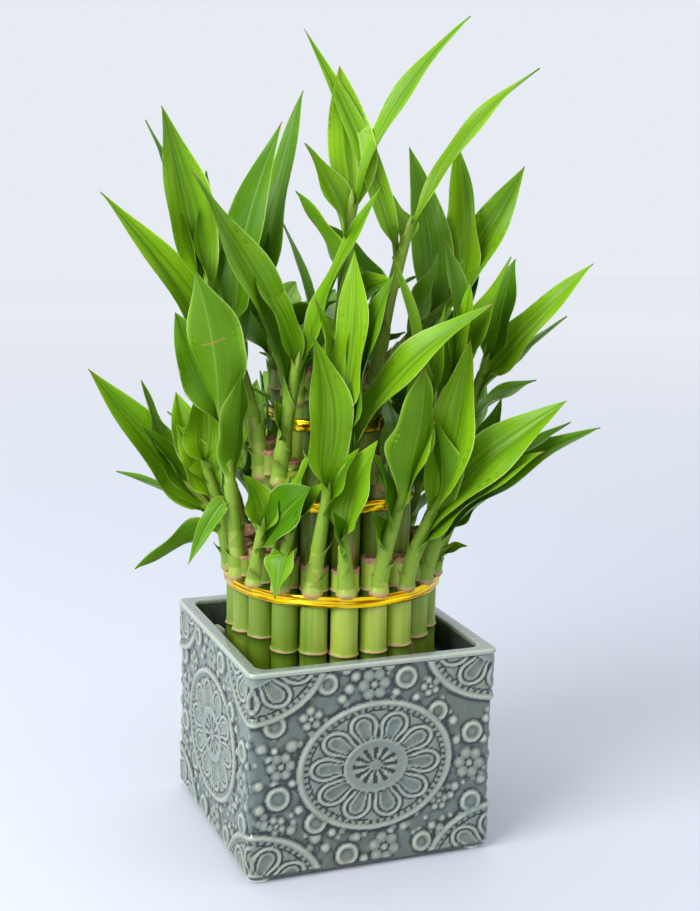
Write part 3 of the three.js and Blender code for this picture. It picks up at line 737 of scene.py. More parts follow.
class PotOutline:
    """The columns of the pot's wall: flat runs on four sides joined by corners."""

    def __init__(self):
        flat_half = FACE_HALF - FACE_CORNER
        count = int(2 * flat_half / FACE_STEP)
        corner_steps = np.arange(CORNER_STEPS)
        self.share = np.tile(np.concatenate((2 * np.arange(count) / count - 1, corner_steps * 0 + 1)), 4)
        self.corner = np.tile(np.concatenate((np.zeros(count), corner_steps / CORNER_STEPS)), 4)
        self.side = np.repeat(np.arange(4), count + CORNER_STEPS)
        turn = np.radians(90 * (self.side + self.corner) - 90)
        self.normals = np.stack((np.cos(turn), np.sin(turn)), 1)
        self.across = self.share * flat_half + self.corner * math.pi / 2 * FACE_CORNER
        self.next_across = -flat_half - (1 - self.corner) * math.pi / 2 * FACE_CORNER

    def ring(self, half, radius, offset=0.0):
        """Points round the pot at a half width and corner radius, pushed out by an offset."""
        angle = np.radians(90 * self.side - 90.0)
        out = np.stack((np.cos(angle), np.sin(angle)), 1)
        along = np.stack((-out[:, 1], out[:, 0]), 1)
        flat = half - radius
        base = out * flat + along * (self.share * flat)[:, None]
        return base + self.normals * np.broadcast_to(radius + offset, len(self.share))[:, None]


# Marks the rim among the heights of the relief
RIM = 1.6
# Even glaze inside the pot, painted a little darker than the faces as shade
INSIDE_GLAZE = 0.1
INSIDE_SHADE = -0.26
# The foot, from its middle out: half width, corner, height
FOOT_RINGS = (
    (44.0, 3.0, POT_BOTTOM + 0.8), (46.0, 3.0, POT_BOTTOM), (FACE_HALF - 0.9, FACE_CORNER, POT_BOTTOM),
    (FACE_HALF - 0.2, FACE_CORNER, POT_BOTTOM + 0.35),
)
# The strip and the rim, outside and upward: height, how far out of the face, paleness (thin glaze and painted
# highlight; below nought, pooled glaze and painted shade)
STRIP_RINGS = (
    (STRIP_START, 0.7, -0.2), (STRIP_START + 0.25, 1.25, 0.0), (STRIP_START + 0.6, RELIEF, 0.6),
    (POT_TOP - 1, RELIEF, 0.5), (POT_TOP - 0.5, RELIEF - 0.2, 0.7), (POT_TOP - 0.15, RELIEF - 0.65, 0.8),
    (POT_TOP, RELIEF - 1.4, 0.4),
)
# The rim, inside and downward: height, how far out of the inner wall, paleness (thin glaze and painted
# highlight)
RIM_RINGS = (
    (POT_TOP, 1.6, 0.35), (POT_TOP - 0.1, 0.8, 0.55), (POT_TOP - 0.5, 0.25, 0.6), (POT_TOP - 1.3, 0, 0.3),
)
# The inside, downward: height, how far out of the inner wall
INSIDE_RINGS = (
    (POT_TOP - 2.4, 0), (92.0, 0), (80.0, 0), (50.0, 0), (INNER_FLOOR + 2, 0), (INNER_FLOOR + 0.6, -0.6),
    (INNER_FLOOR, -2),
)


def pot_mesh(relief_share):
    """The whole pot as one closed skin, with its relief and the depth of its glaze."""
    outline = PotOutline()
    columns = len(outline.share)
    rows = np.arange(POT_BOTTOM + 1.0, STRIP_START, FACE_STEP)
    across = np.tile(outline.across, (len(rows), 1))
    up = np.tile(rows[:, None], (1, columns))
    height = ornament(across, up)
    beyond = ornament(np.tile(outline.next_across, (len(rows), 1)), up)
    height = (1 - outline.corner) * height + outline.corner * beyond
    ends = ease(up, POT_BOTTOM + 1, POT_BOTTOM + 2.5)
    wander = 0.07 * np.sin(across / 7.3 + up / 5.1) * np.sin(up / 6.7 - across / 9.1)
    height = np.clip(height * ends + wander, 0, RELIEF)
    # Crests stand above their softened surroundings and their feet below them: the glaze paints crests paler
    # (thin glaze and painted highlight) and feet darker (pooled glaze and painted shade)
    crest = height - soften(height, 9)
    height = soften(height, 1, 0.12) * relief_share

    rings, tops, crests = [], [], []

    def add(half, radius, z, offset=0.0, top=0.4, raised=0.0):
        flat = outline.ring(half, radius, offset)
        rings.append(np.column_stack((flat, np.full(columns, z))))
        tops.append(np.broadcast_to(top, columns))
        crests.append(np.broadcast_to(raised, columns))

    for half, corner, z in FOOT_RINGS:
        add(half, corner, z)
    for row, z in enumerate(rows):
        add(FACE_HALF, FACE_CORNER, z, height[row], height[row] / RELIEF, crest[row])
    for z, offset, raised in STRIP_RINGS:
        add(FACE_HALF, FACE_CORNER, z, offset, RIM, raised)
    for z, out, raised in RIM_RINGS:
        add(INNER_HALF + out, INNER_CORNER, z, top=RIM, raised=raised)
    for z, out in INSIDE_RINGS:
        # The inside walls take painted shade
        add(INNER_HALF + out, INNER_CORNER, z, top=INSIDE_GLAZE, raised=INSIDE_SHADE)
    mesh = plain_mesh(
        "pot_glazed", np.concatenate(rings), skin_faces(len(rings), columns),
        height=np.concatenate(tops), crest=np.concatenate(crests),
    )
    mesh.shade_smooth()
    return mesh


def glaze_material(settings):
    """Celadon glaze: pale where it ran thin on the crests, with painted highlight there; dark and bluish
    where it pooled at their feet, with painted shade there; painted shade darkens the inside of the pot.
    """
    graph, shader, material = surface("celadon glaze")
    height, crest = graph.stored("height"), graph.stored("crest")
    cloud = graph.noise(graph.place(), 24, 3)
    fine = graph.noise(graph.place(), 330, 3, 0.6)
    grain = (fine - 0.5) * 0.5
    spots = graph.noise(graph.place((1, 1, 0.8)), 70).fit(0.45, 0.6)
    # The dark of the crests' feet and the inside: pooled glaze and painted shade, blue in spots
    pooled = graph.mix(spots, settings.recess_pool_shade_color, settings.blue_pool_shade_color)
    body = graph.layered(
        settings.ground_color,
        ((height + grain).fit(0.05, 0.8), settings.glaze_color),
        (cloud.fit(0.4, 0.7, 0, 0.35), settings.blue_color),
        (height.fit(1.1, 1.5, 0, 0.7), settings.blue_color),
        # Crests and rim edges paler: thin glaze and painted highlight
        ((crest + grain * 0.5).fit(0.1, 0.85), settings.thin_glaze_highlight_color),
        # Crests' feet darker (pooled glaze and painted shade), and the inside darker (painted shade)
        ((crest + grain * 0.25).fit(-0.06, -0.4, 0, 0.95), pooled),
    )
    graph.give(shader, {
        "Base Color": body, "Roughness": fine.fit(0.3, 0.7, 0.14, 0.3),
        "Coat Weight": 0.4, "Coat Roughness": 0.08,
        "Normal": graph.bump(fine * 0.6 + graph.noise(graph.place(), 90), 0.00018, 0.6),
    })
    return material


# The bumper pads under the pot


def round_tree():
    """Turns a chain of points that carry a radius into a round, closed body."""
    graph, given, sink = geometry_tree("Turned body", sides="Int", finish="Material")
    angle, radius = graph.named("round") * (2 * math.pi), graph.named("wide")
    out = graph.spot(radius * angle.cos(), radius * angle.sin())
    body = graph.sweep(given["geometry"], given["sides"])
    body = graph.smooth(graph.put(body, graph.added(graph.named_vector("centre"), out)))
    return finished(graph, body, sink, (given["finish"], None))


# A pad's outline: how far from its middle, and how high
PAD_PROFILE = (
    (4.4, 0.0), (4.8, 0.12), (5.0, 0.4), (5.0, 0.8), (4.75, 1.1), (4.0, 1.35), (2.6, 1.48), (0.02, 1.5),
)


def bumper_material(settings):
    """Clear rubber, a little cloudy, with dust in its skin."""
    graph, shader, material = surface("bumper rubber")
    cloud = graph.noise(graph.place(), 400, 3)
    graph.give(shader, {
        "Base Color": graph.mix(cloud.fit(0.35, 0.7), settings.pad_color, tint("#b9beb9")),
        "Roughness": cloud.fit(0.3, 0.7, 0.22, 0.42),
        "Subsurface Weight": 0.3, "Subsurface Radius": (0.002, 0.002, 0.002),
        "Normal": graph.bump(cloud, 0.00008),
    })
    return material


# The pebbles

BED_COLUMNS = 96
BED_MIDDLE_RADIUS = 20.0
BED_SEED = 9


def bed_mesh():
    """The bed under the pebbles: a layer below the canes and heaped corners round the hole they fill."""
    angles = 2 * math.pi * np.arange(BED_COLUMNS) / BED_COLUMNS
    cos, sin = np.cos(angles), np.sin(angles)
    square = 1 / np.maximum(abs(cos), abs(sin))
    corner = BED_HALF * 2 ** 0.5 - INNER_CORNER * (2 ** 0.5 - 1)
    reach = np.minimum(BED_HALF * square, corner)
    draw = draws_from(BED_SEED)
    rings = []

    def add(radius, z):
        rings.append(np.column_stack((radius * cos, radius * sin, np.broadcast_to(z, BED_COLUMNS))))

    add(BED_MIDDLE_RADIUS, BED_LOW)
    add(reach - 0.5, BED_LOW)
    add(reach, BED_LOW + 0.5)
    add(reach, BED_TOP - 1)
    for share in (0.9, 0.7, 0.45, 0.2):
        bumps = np.array([draw(-1.2, 0.8) for _ in range(BED_COLUMNS)])
        add(BED_HOLE_RADIUS + (reach - BED_HOLE_RADIUS) * share, BED_TOP + bumps * 0.8 - 0.5)
    add(BED_HOLE_RADIUS, BED_TOP - 1.5)
    add(BED_HOLE_RADIUS, BED_LAYER_TOP)
    add(BED_MIDDLE_RADIUS, BED_LAYER_TOP)
    points = np.concatenate(rings)
    away = np.hypot(points[:, 0], points[:, 1])
    heaped = (points[:, 2] > BED_TOP - 4) & (away > BED_HOLE_RADIUS + 2.2) & (
        np.abs(points[:, :2]).max(1) < BED_HALF - 2.5
    )
    return plain_mesh("bed", points, skin_faces(len(rings), BED_COLUMNS), heaped=heaped.astype(float))


# The one pale pebble that shows over the rim
SHOWN_PEBBLE = (-46.0, 41.0, 86.5)
SHOWN_PEBBLE_RADIUS = 4.2
SHOWN_PEBBLE_SHAPE = (1.25, 0.9, 0.85)


def pebble_tree():
    """Strews stones and grit over the heaped parts of the bed."""
    graph, given, sink = geometry_tree(
        "Strewn pebbles", spacing="Float", smallest="Float", largest="Float", grit_spacing="Float",
        seed="Int", finish="Material",
    )
    heap = [graph.store(given["geometry"], "stone", -1.0)]
    # Pebbles, then grit: spacing, smallest, largest, palest, roundness, shift of the seed
    for spacing, smallest, largest, palest, detail, shift in (
        (given["spacing"], given["smallest"], given["largest"], 1.0, 2, 0),
        (given["grit_spacing"], 0.0007, 0.0016, 0.3, 1, 31),
    ):
        seed = given["seed"] + shift
        spots = graph.add("GeometryNodeDistributePointsOnFaces", {
            "Mesh": given["geometry"], "Distance Min": spacing, "Density Max": 400000.0,
            "Density Factor": graph.named("heaped"), "Seed": seed,
        }, distribute_method="POISSON")
        spots = graph.store(spots, "stone", graph.random(0.0, palest, seed + 5))
        shape = graph.random((0.75, 0.65, 0.5), (1.15, 1.0, 0.75), seed)
        stones = graph.add("GeometryNodeInstanceOnPoints", {
            "Points": spots,
            "Instance": graph.add("GeometryNodeMeshIcoSphere", {"Radius": 1.0, "Subdivisions": detail}),
            "Rotation": graph.random((-0.4, -0.4, 0.0), (0.4, 0.4, 6.28), seed + 3),
            "Scale": graph.scaled(shape, graph.random(smallest, largest, seed)),
        })
        heap.append(graph.add("GeometryNodeRealizeInstances", {"Geometry": stones}))
    shown = graph.add("GeometryNodeMeshIcoSphere", {"Radius": SHOWN_PEBBLE_RADIUS * MM, "Subdivisions": 3})
    shown = graph.add("GeometryNodeTransform", {
        "Geometry": shown, "Translation": Vector(SHOWN_PEBBLE) * MM, "Scale": SHOWN_PEBBLE_SHAPE,
    })
    heap.append(graph.store(shown, "stone", 1.0))
    spot = graph.add("GeometryNodeInputPosition")
    lumps = graph.add("ShaderNodeTexNoise", {"Vector": spot, "Scale": 260.0, "Detail": 1.0}, out=1)
    body = graph.add("GeometryNodeSetPosition", {
        "Geometry": graph.join(*heap), "Selection": graph.named("stone") > -0.5,
        "Offset": graph.scaled(graph.added(lumps, (-0.5, -0.5, -0.5)), 0.0018),
    })
    return finished(graph, graph.smooth(body), sink, (given["finish"], None))


def pebble_material(settings):
    """River pebbles of mixed colour, with brown grit between them."""
    graph, shader, material = surface("river pebble")
    stone = graph.stored("stone")
    cloud = graph.noise(graph.place(), 140, 4, 0.6)
    speck = graph.noise(graph.place(), 900)
    body = graph.layered(
        tint("#6b4f38"),
        (stone.fit(0.0, 0.35), settings.stone_color),
        (stone.fit(0.4, 0.9), settings.pale_color),
        (cloud.fit(0.45, 0.7, 0, 0.45), tint("#5b5a45")),
        (speck.fit(0.55, 0.7, 0, 0.3), tint("#3a2f25")),
        (stone.fit(0.0, -0.2), tint("#3b2f26")),
    )
    graph.give(shader, {
        "Base Color": body, "Roughness": cloud.fit(0.3, 0.7, 0.4, 0.75),
        "Normal": graph.bump(cloud + speck * 0.4, 0.0004),
    })
    return material


# The ribbons


HULL_POINTS = 72
RIBBON_STEP = 1.1
RIBBON_SIDES = 28


def hull_round(centres, radius):
    """The outline pulled tight round circles, counter-clockwise."""
    points = []
    for x, y in centres:
        for angle in 2 * math.pi * np.arange(HULL_POINTS) / HULL_POINTS:
            points.append((x + radius * math.cos(angle), y + radius * math.sin(angle)))
    points.sort()

    def side(run):
        chain = []
        for x, y in run:
            while len(chain) > 1:
                (ax, ay), (bx, by) = chain[-2:]
                if (bx - ax) * (y - ay) - (by - ay) * (x - ax) > 1e-6:
                    break
                chain.pop()
            chain.append((x, y))
        return chain[:-1]
    return np.array(side(points) + side(points[::-1]))


def ribbon_guide(centres, height):
    """A closed chain round a bundle, with its outward directions and how far along it runs."""
    hull = hull_round(centres, CANE_RADIUS + TIE_GAP + TIE_THICKNESS / 2)
    loop = np.vstack((hull, hull[:1]))
    lengths = np.hypot(*np.diff(loop, axis=0).T)
    total = lengths.sum()
    starts = np.concatenate(((0,), np.cumsum(lengths)))
    count = int(total / RIBBON_STEP)
    runs = total * np.arange(count) / count
    flat = np.stack([np.interp(runs, starts, loop[:, axis]) for axis in (0, 1)], 1)
    ahead = np.roll(flat, -1, 0) - np.roll(flat, 1, 0)
    out = unit(np.column_stack((ahead[:, 1], -ahead[:, 0], np.zeros(count))))
    points = np.column_stack((flat, np.full(count, height)))
    edges = [(k, (k + 1) % count) for k in range(count)]
    return plain_mesh(
        "ribbon_path", points, edges=edges, centre=points * MM, outward=out, run=runs * MM,
        turn=2 * math.pi * runs / total,
    )


def ribbon_tree():
    """Sweeps a creased foil band along a closed chain."""
    graph, given, sink = geometry_tree(
        "Foil ribbon", width="Float", thickness="Float", crease="Float", seed="Float", finish="Material",
    )
    seed = given["seed"]
    # Round it goes up the outer face, then down the inner one
    level = 1.0 - abs(graph.named("round") * 4.0 - 2.0)
    face = (graph.named("round") * (2 * math.pi)).sin()
    band = graph.store(graph.sweep(given["geometry"], RIBBON_SIDES, caps=False), "level", level)
    turn = graph.named("turn")
    x, y = turn.cos() * 3.0, turn.sin() * 3.0
    folds = graph.noise(graph.spot(x, y, level * 1.6 + seed), 1.1, 1.0)
    crinkle = graph.noise(graph.spot(x * 2.6, y * 2.6, level * 1.4), 1.0, 3.0, 0.6)
    wander = graph.noise(graph.spot(x, y, seed + 7.0), 0.7, 1.0)
    groove = abs(level - wander.fit(0.3, 0.7, -0.5, 0.5, "LINEAR")).fit(0.0, 0.4, -0.9, 0.0, "LINEAR")
    push = (folds - 0.5) * 2.0 + (crinkle - 0.5) * 1.1 + groove + (1.0 - level * level) * 0.8
    push = push * given["crease"] * face.fit(-0.2, 0.3) + face * given["thickness"] * 0.5
    out = graph.scaled(graph.named_vector("outward"), push)
    rise = graph.spot(z=level * given["width"] * 0.5 + (wander - 0.5) * 0.0008)
    band = graph.put(band, graph.added(graph.named_vector("centre"), out, rise))
    band = graph.smooth(graph.add("GeometryNodeFlipFaces", {"Mesh": band}))
    return finished(graph, band, sink, (given["finish"], None))


def foil_material(settings):
    """Gold foil on a pale plastic band, creased along its length, with dark streaks of painted shade and
    painted reflection.
    """
    graph, shader, material = surface("gold foil")
    streak = graph.noise(graph.spot(graph.stored("turn") * 1.6, graph.stored("level") * 2.6), 1.0)
    cloud = graph.noise(graph.place(), 120)
    # Dark streaks of painted shade and painted reflection over the gold
    body = graph.layered(
        settings.shade_color,
        (streak.fit(0.4, 0.53), settings.gold_color),
        (cloud.fit(0.45, 0.75, 0, 0.4), tint("#ffe04a")),
    )
    graph.give(shader, {
        "Base Color": body, "Metallic": 0.9, "Roughness": streak.fit(0.3, 0.7, 0.14, 0.26),
        "Normal": graph.bump(streak, 0.0004, 0.6),
    })
    return material


# The stalks

Place = namedtuple("Place", "name azimuth centre nodes top slope leaves path")


def stalk_places():
    """Where every stalk stands, with its cane, its shoot and the leaves asked of it."""
    places = []
    for tier_name, tier in TIERS.items():
        for k in range(tier["count"]):
            draw = draws_from(FIRST_SEED + len(places))
            azimuth = tier["first"] + 360 * k / tier["count"]
            tall = tier_name == "middle" and k == TALL_MIDDLE_CANE
            heights = TIERS["inner"] if tall else tier
            ranges = HIDDEN["inner" if tall else tier_name]
            node = heights["node"] + draw(-2, 2)
            nodes = [tier["low_node"] + draw(-2, 3), node] if tier_name == "outer" else [node]
            drawn = shoot(draw(-15, 15), draw(*ranges["lean"]), draw(*ranges["height"]))
            top = heights["top"] + draw(-3, 3)
            slope = (draw(-0.1, 0.1), draw(-0.1, 0.1))
            # The solid's flat sides are turned by this draw, and a round cane has none
            draw()
            shown = SHOWN_SHOOTS[tier_name].get(k)
            grown = shown or drawn
            centre = heading(azimuth) * tier["radius"]
            missing = drawn_leaves(azimuth, len(grown.leaves), bool(shown), ranges, draw)
            places.append(Place(
                f"stalk_{tier_name}_{k + 1}", azimuth, centre, nodes, top, slope, [*grown.leaves, *missing],
                shoot_path(azimuth, centre, node - 1, grown),
            ))
    return places


def drawn_leaves(azimuth, given, shown, ranges, draw):
    """The leaves that do not show, on a shoot's far side where its near side is given."""
    leaves = []
    missing = (LEAVES_PER_SHOWN_STALK if shown else LEAVES_PER_STALK) - given
    start = draw(0, 360)
    for k in range(missing):
        share = k / max(missing - 1, 1)
        far_turn = FAR_SIDE - azimuth + draw(-45, 45)
        turn = far_turn if shown else start + LEAF_TURN_STEP * k
        tilt = LOW_TILT + (ranges["top_tilt"] - LOW_TILT) * share + draw(-8, 8)
        size = draw(*ranges["leaf_length"])
        leaves.append(leaf(0.35 + 0.6 * share, turn, tilt, size, draw(16, 21), draw(-35, 35)))
    return leaves


def shoot_path(azimuth, centre, height, grown):
    """A shoot rises from the cane's side at its node."""
    turn = azimuth + grown.turn
    root = centre + heading(azimuth) * (CANE_RADIUS - SHOOT_ROOT_DEPTH)
    root = root + np.array((0, 0, height))
    bow = root + np.array((0, 0, SHOOT_RISE * grown.height))
    bow = bow + heading(turn) * (SHOOT_START_LEAN * grown.height)
    return Arc(root, bow, root + direction(turn, grown.lean) * grown.height)


def leaf_arch(path, stalk_azimuth, blade):
    """The line that a leaf's blade follows."""
    azimuth = stalk_azimuth + blade.turn
    chord = direction(azimuth, blade.tilt)
    root = path.point(blade.at) + heading(azimuth) * ROOT_OFFSET
    start = path.tangent(blade.at) * (1 - CHORD_SHARE) + chord * CHORD_SHARE
    return Arc(root, root + start * (blade.arch * blade.length), root + chord * blade.length)


def grown_leaves(place):
    """The leaves as the solid has them: each found by the tip that its node's corners hold."""
    mesh = bpy.data.objects[place.name].data
    corners = np.empty(len(mesh.vertices) * 3, np.float32)
    mesh.vertices.foreach_get("co", corners)
    corners = corners.reshape(-1, 3).astype(float) / MM
    found = []
    for blade in place.leaves:
        tries = [
            blade._replace(
                turn=blade.turn + turn, tilt=blade.tilt + tilt, length=blade.length * scale,
                roll=blade.roll - turn * math.cos(math.radians(blade.tilt)),
            )
            for scale in LENGTH_STEPS for tilt in TILT_STEPS for turn in TURN_STEPS
        ]
        tips = np.array([leaf_arch(place.path, place.azimuth, tried).end for tried in tries])
        away = np.linalg.norm(tips[:, None] - corners[None], axis=2).min(1)
        if away.min() < TIP_TOLERANCE:
            found.append(tries[int(away.argmin())])
    return found


class Guide:
    """Chains of points that carry what the stalk tree needs to know at each of them."""

    NUMBERS = (
        "part", "half", "wrap", "thick", "along", "seed", "ring", "cut", "young", "dry", "sheath", "scratch",
    )
    VECTORS = ("centre", "side", "above")

    def __init__(self):
        self.chains = []

    def chain(self, centre, side, above, **numbers):
        count = len(centre)
        values = {name: np.broadcast_to(numbers.get(name, 0.0), count) for name in self.NUMBERS}
        self.chains.append({**values, "centre": centre, "side": side, "above": above})

    def mesh(self):
        values = {
            name: np.concatenate([chain[name] for chain in self.chains])
            for name in self.NUMBERS + self.VECTORS
        }
        edges, start = [], 0
        for chain in self.chains:
            count = len(chain["centre"])
            edges += [(start + k, start + k + 1) for k in range(count - 1)]
            start += count
        points = values["centre"]
        for name in ("centre", "half", "thick"):
            values[name] = values[name] * MM
        return plain_mesh("stalk_guide", points, edges=edges, **values)


STEM, BLADE = 0.0, 1.0
# A cane is bare up to here: its nodes lie higher
BARE_HEIGHT = 60.0
# Round a node: height from it, swell, ring, shade (painted shade, darkest just below the node)
NODE_PROFILE = (
    (-5, 0, 0, 0.4), (-2.6, 0.06, 0, 0.75), (-1.4, 0.15, 0, 1.0), (-0.7, 0.3, 0.1, 1.0),
    (-0.35, 0.6, 0.75, 0.3), (0.0, 0.65, 1, 0), (0.35, 0.38, 0.7, 0), (0.8, 0.2, 0.1, 0),
    (2.2, 0.1, 0, 0), (4.5, 0, 0, 0),
)
# At the sawn top: height from it, swell, cut
CUT_PROFILE = (
    (-4.5, 0, 0), (-3.0, 0, 0.3), (-1.8, 0.04, 0.7), (-0.6, 0.12, 1), (-0.1, 0.0, 1), (0.1, -0.45, 1),
    (-0.1, -1.2, 1), (-0.8, -2.2, 1), (-1.3, -4.0, 1), (-1.0, -6.33, 1),
)


def add_cane(guide, place):
    """A cane: smooth between its nodes, ringed at each, with painted shade below each node and low down in
    the pot, dried and hollowed where it was sawn.
    """
    draw = draws_from(int(place.azimuth * 10) + int(place.top))
    *low_nodes, top_node = place.nodes
    nodes = [node + draw(-6.5, 0.5) for node in low_nodes] + [top_node]
    # Height, swell, ring, painted shade, cut
    # Low down in the pot the cane carries painted shade
    stations = [(CANE_FOOT, 0, 0, 0.4, 0), (BARE_HEIGHT, 0, 0, 0.4, 0)]
    previous = BARE_HEIGHT
    for node in nodes:
        gap = node + NODE_PROFILE[0][0] - previous
        stations += [(previous + gap * share, 0, 0, 0, 0) for share in (0.25, 0.5, 0.75)]
        stations += [(node + z, swell, ring, shade, 0) for z, swell, ring, shade in NODE_PROFILE]
        previous = node + NODE_PROFILE[-1][0]
    stations += [(place.top + z, swell, 0, 0, cut) for z, swell, cut in CUT_PROFILE]
    stations = [s for k, s in enumerate(stations) if k == 0 or s[0] > stations[k - 1][0] - 3]
    z, swell, ring, shade, cut = np.array(stations, float).T
    ones, zeros = np.ones_like(z), np.zeros_like(z)
    near_top = (z > place.top - 0.7) * 1.0
    guide.chain(
        np.column_stack((ones * place.centre[0], ones * place.centre[1], z)),
        np.column_stack((ones, zeros, near_top * place.slope[0])),
        np.column_stack((zeros, ones, near_top * place.slope[1])),
        # The painted shade shares its stored number with the leaves' dried tips
        part=STEM, half=CANE_RADIUS + swell, along=z / 100, ring=ring, cut=cut, dry=shade, seed=draw(),
    )


def stem_radius(t):
    """A shoot's radius, from its foot (0) to its tip (1)."""
    return SHOOT_RADIUS * np.interp(t, *SHOOT_THINNING)


# Where a shoot leaves its cane: height over its root, depth inward, radius
SHOOT_ROOT = ((-4.6, 3.4, 0.8), (-3.6, 1.9, 2.9), (-2.2, 0.7, 4.3), (-0.9, 0.1, 4.8))
# Its growing tip: distance beyond its end, radius
SHOOT_TIP = ((2.5, 1.7), (5.0, 0.9), (7.5, 0.05))
SHOOT_STATIONS = np.linspace(0, 1, 17) ** 1.3
SHOOT_FLARE = 0.9


def add_shoot(guide, place):
    """A shoot: it swells out of the cane's side below the node and ends in its growing tip."""
    path, t = place.path, SHOOT_STATIONS
    draw = draws_from(int(place.azimuth * 7) + 5)
    rise, depth, root_radius = np.array(SHOOT_ROOT).T
    beyond, tip_radius = np.array(SHOOT_TIP).T
    low = path.start - np.outer(depth, heading(place.azimuth)) + np.outer(rise, (0, 0, 1))
    ahead = path.tangent(1.0)
    centre = np.vstack((low, path.point(t), path.end + np.outer(beyond, ahead)))
    upright = np.outer(0 * rise + 1, (0, 0, 1))
    tangent = np.vstack((upright, path.tangent(t), np.outer(0 * beyond + 1, ahead)))
    flare = SHOOT_FLARE * (1 - ease(t * path.span, 0, 8))
    side = unit(np.cross((0.0, 1.0, 0.0), tangent))
    along = np.concatenate((0 * rise, t, 0 * beyond + 1))
    collar = np.concatenate((0 * rise + 1, 1 - ease(t * path.span, 0.5, 3.5), 0 * beyond))
    guide.chain(
        centre, side, np.cross(tangent, side), part=STEM, along=along, seed=draw(), young=0.35 + 0.65 * along,
        half=np.concatenate((root_radius, stem_radius(t) + flare, tip_radius)), ring=collar * 0.62,
    )


# A leaf from the foot of its sheath (-1) over its joint (0) to its tip (1)
SHEATH_STATIONS = np.array((-1.0, -0.85, -0.65, -0.4, -0.2, 0.0))
BLADE_STATIONS = np.array((
    0.025, 0.05, 0.08, 0.11, 0.145, 0.18, 0.22, 0.26, 0.3, 0.35, 0.4, 0.45, 0.5, 0.55, 0.6, 0.65, 0.7,
    0.75, 0.8, 0.85, 0.89, 0.92, 0.95, 0.975, 1.0,
))
SHEATH_LENGTH = 12.0
SHEATH_CLEARANCE = 0.25
MERGE = 0.3
BLADE_WIDEST = 0.48
BLADE_FOOT = 0.32
BLADE_FULLNESS = 1.12
BLADE_WAIST = 3.2
# How far the leaf curls to each side of its middle, in radians: round the shoot, open, at its tip
SHEATH_CURL, OPEN_CURL, TIP_CURL = 2.75, 0.45, 0.2
TWIST = 28
SWAY = 0.05
DIP = 0.018
LEAF_SEED = 77
OPENING_LENGTH = 14.0
LONGEST_OPENING = 0.3
LEAF_THICKNESS = 0.55
LEAF_THINNING = 0.3
DRY_FROM = 0.965
DRY_TIPS = 0.4
SCRATCHED = ("stalk_outer_17", 0)
SCRATCH_AT = 0.57
# Beyond this share of its half width the blade's edge is left sharp
MARGIN_FROM = 0.99


def blade_half(t, width):
    """Half the blade's width: narrow at its foot, widest just below the middle, then a short point."""
    past = (t - BLADE_WIDEST) / (1 - BLADE_WIDEST)
    rising = BLADE_FOOT + (1 - BLADE_FOOT) * ease(t, 0.04, BLADE_WIDEST)
    falling = np.clip(1 - past, 0, 1) * (1 + 0.95 * past)
    return 0.5 * width * BLADE_FULLNESS * np.where(past < 0, rising, falling) + 0.03


def leaf_line(path, blade, azimuth, arch):
    """A leaf's line from its sheath to its tip, and how far the sheath lies from the shoot's middle."""
    length = min(SHEATH_LENGTH, 0.8 * blade.at * path.span + 1.5)
    clasped = np.clip(blade.at + SHEATH_STATIONS * length / path.span, 0, 1)
    ahead = path.tangent(clasped)
    wall = stem_radius(clasped) + SHEATH_CLEARANCE + 0.25 * (SHEATH_STATIONS + 1)
    low = path.point(clasped) + squared(heading(azimuth), ahead) * wall[:, None]
    # Above the joint the line bends from the sheath's back into the arch
    joint, meet = low[-1], arch.point(MERGE)
    reach = np.linalg.norm(meet - joint) / 3
    t = BLADE_STATIONS[:, None]
    share = np.clip(t / MERGE, 0, 1)
    bend = (
        (1 - share) ** 3 * joint + 3 * share * (1 - share) ** 2 * (joint + ahead[-1] * reach)
        + 3 * share ** 2 * (1 - share) * (meet - arch.tangent(MERGE) * reach) + share ** 3 * meet
    )
    return np.vstack((low, np.where(t < MERGE, bend, arch.point(BLADE_STATIONS)))), wall


def add_leaf(guide, place, blade, number, draw):
    """A leaf: a sheath round the shoot that opens into the blade along the solid's arch."""
    azimuth = place.azimuth + blade.turn
    centre, wall = leaf_line(place.path, blade, azimuth, leaf_arch(place.path, place.azimuth, blade))
    tangent = unit(np.gradient(centre, axis=0))
    side = squared(heading(azimuth + 90), tangent)
    above = np.cross(tangent, side)

    t, none = BLADE_STATIONS, np.zeros(len(SHEATH_STATIONS))
    full = np.concatenate((none, t))
    twist = draw(-TWIST, TWIST)
    sway = np.sin(math.pi * full) * ease(full, 0.0, 0.3) * draw(-SWAY, SWAY) * blade.length
    dip = np.sin(2 * math.pi * full) * ease(full, 0.0, 0.3) * draw(-DIP, DIP) * blade.length
    centre = centre + side * sway[:, None] + above * dip[:, None]
    roll = np.radians(blade.roll * ease(full, 0.0, 0.34) + twist * (full - 0.5) * ease(full, 0.1, 0.5))

    opening = min(LONGEST_OPENING, OPENING_LENGTH / blade.length)
    closed = 1 - ease(t, 0, opening) ** 0.7
    curl = np.concatenate((none + SHEATH_CURL, OPEN_CURL + (SHEATH_CURL - OPEN_CURL) * closed))
    curl = np.where(full > opening, OPEN_CURL + (TIP_CURL - OPEN_CURL) * ease(full, opening, 1), curl)
    clasp = wall[-1] * SHEATH_CURL * (1 - ease(t, 0.0, 0.11 + 2.5 / blade.length))
    waist = BLADE_WAIST * (1 - ease(t, 0.1, 0.4))
    half = np.maximum(np.maximum(clasp, blade_half(t, blade.width)), waist)
    guide.chain(
        centre, turned(side, tangent, roll), turned(above, tangent, roll), part=BLADE,
        half=np.concatenate((wall * SHEATH_CURL, half)), wrap=curl,
        thick=LEAF_THICKNESS - LEAF_THINNING * full,
        along=np.concatenate((SHEATH_STATIONS * 0.1, t)), young=blade.at,
        dry=0.9 * ease(full, DRY_FROM, 1.0) * (draw() < DRY_TIPS), seed=draw(),
        sheath=np.concatenate((none + 1, 1 - ease(t, 0.0, opening))),
        scratch=float((place.name, number) == SCRATCHED),
    )


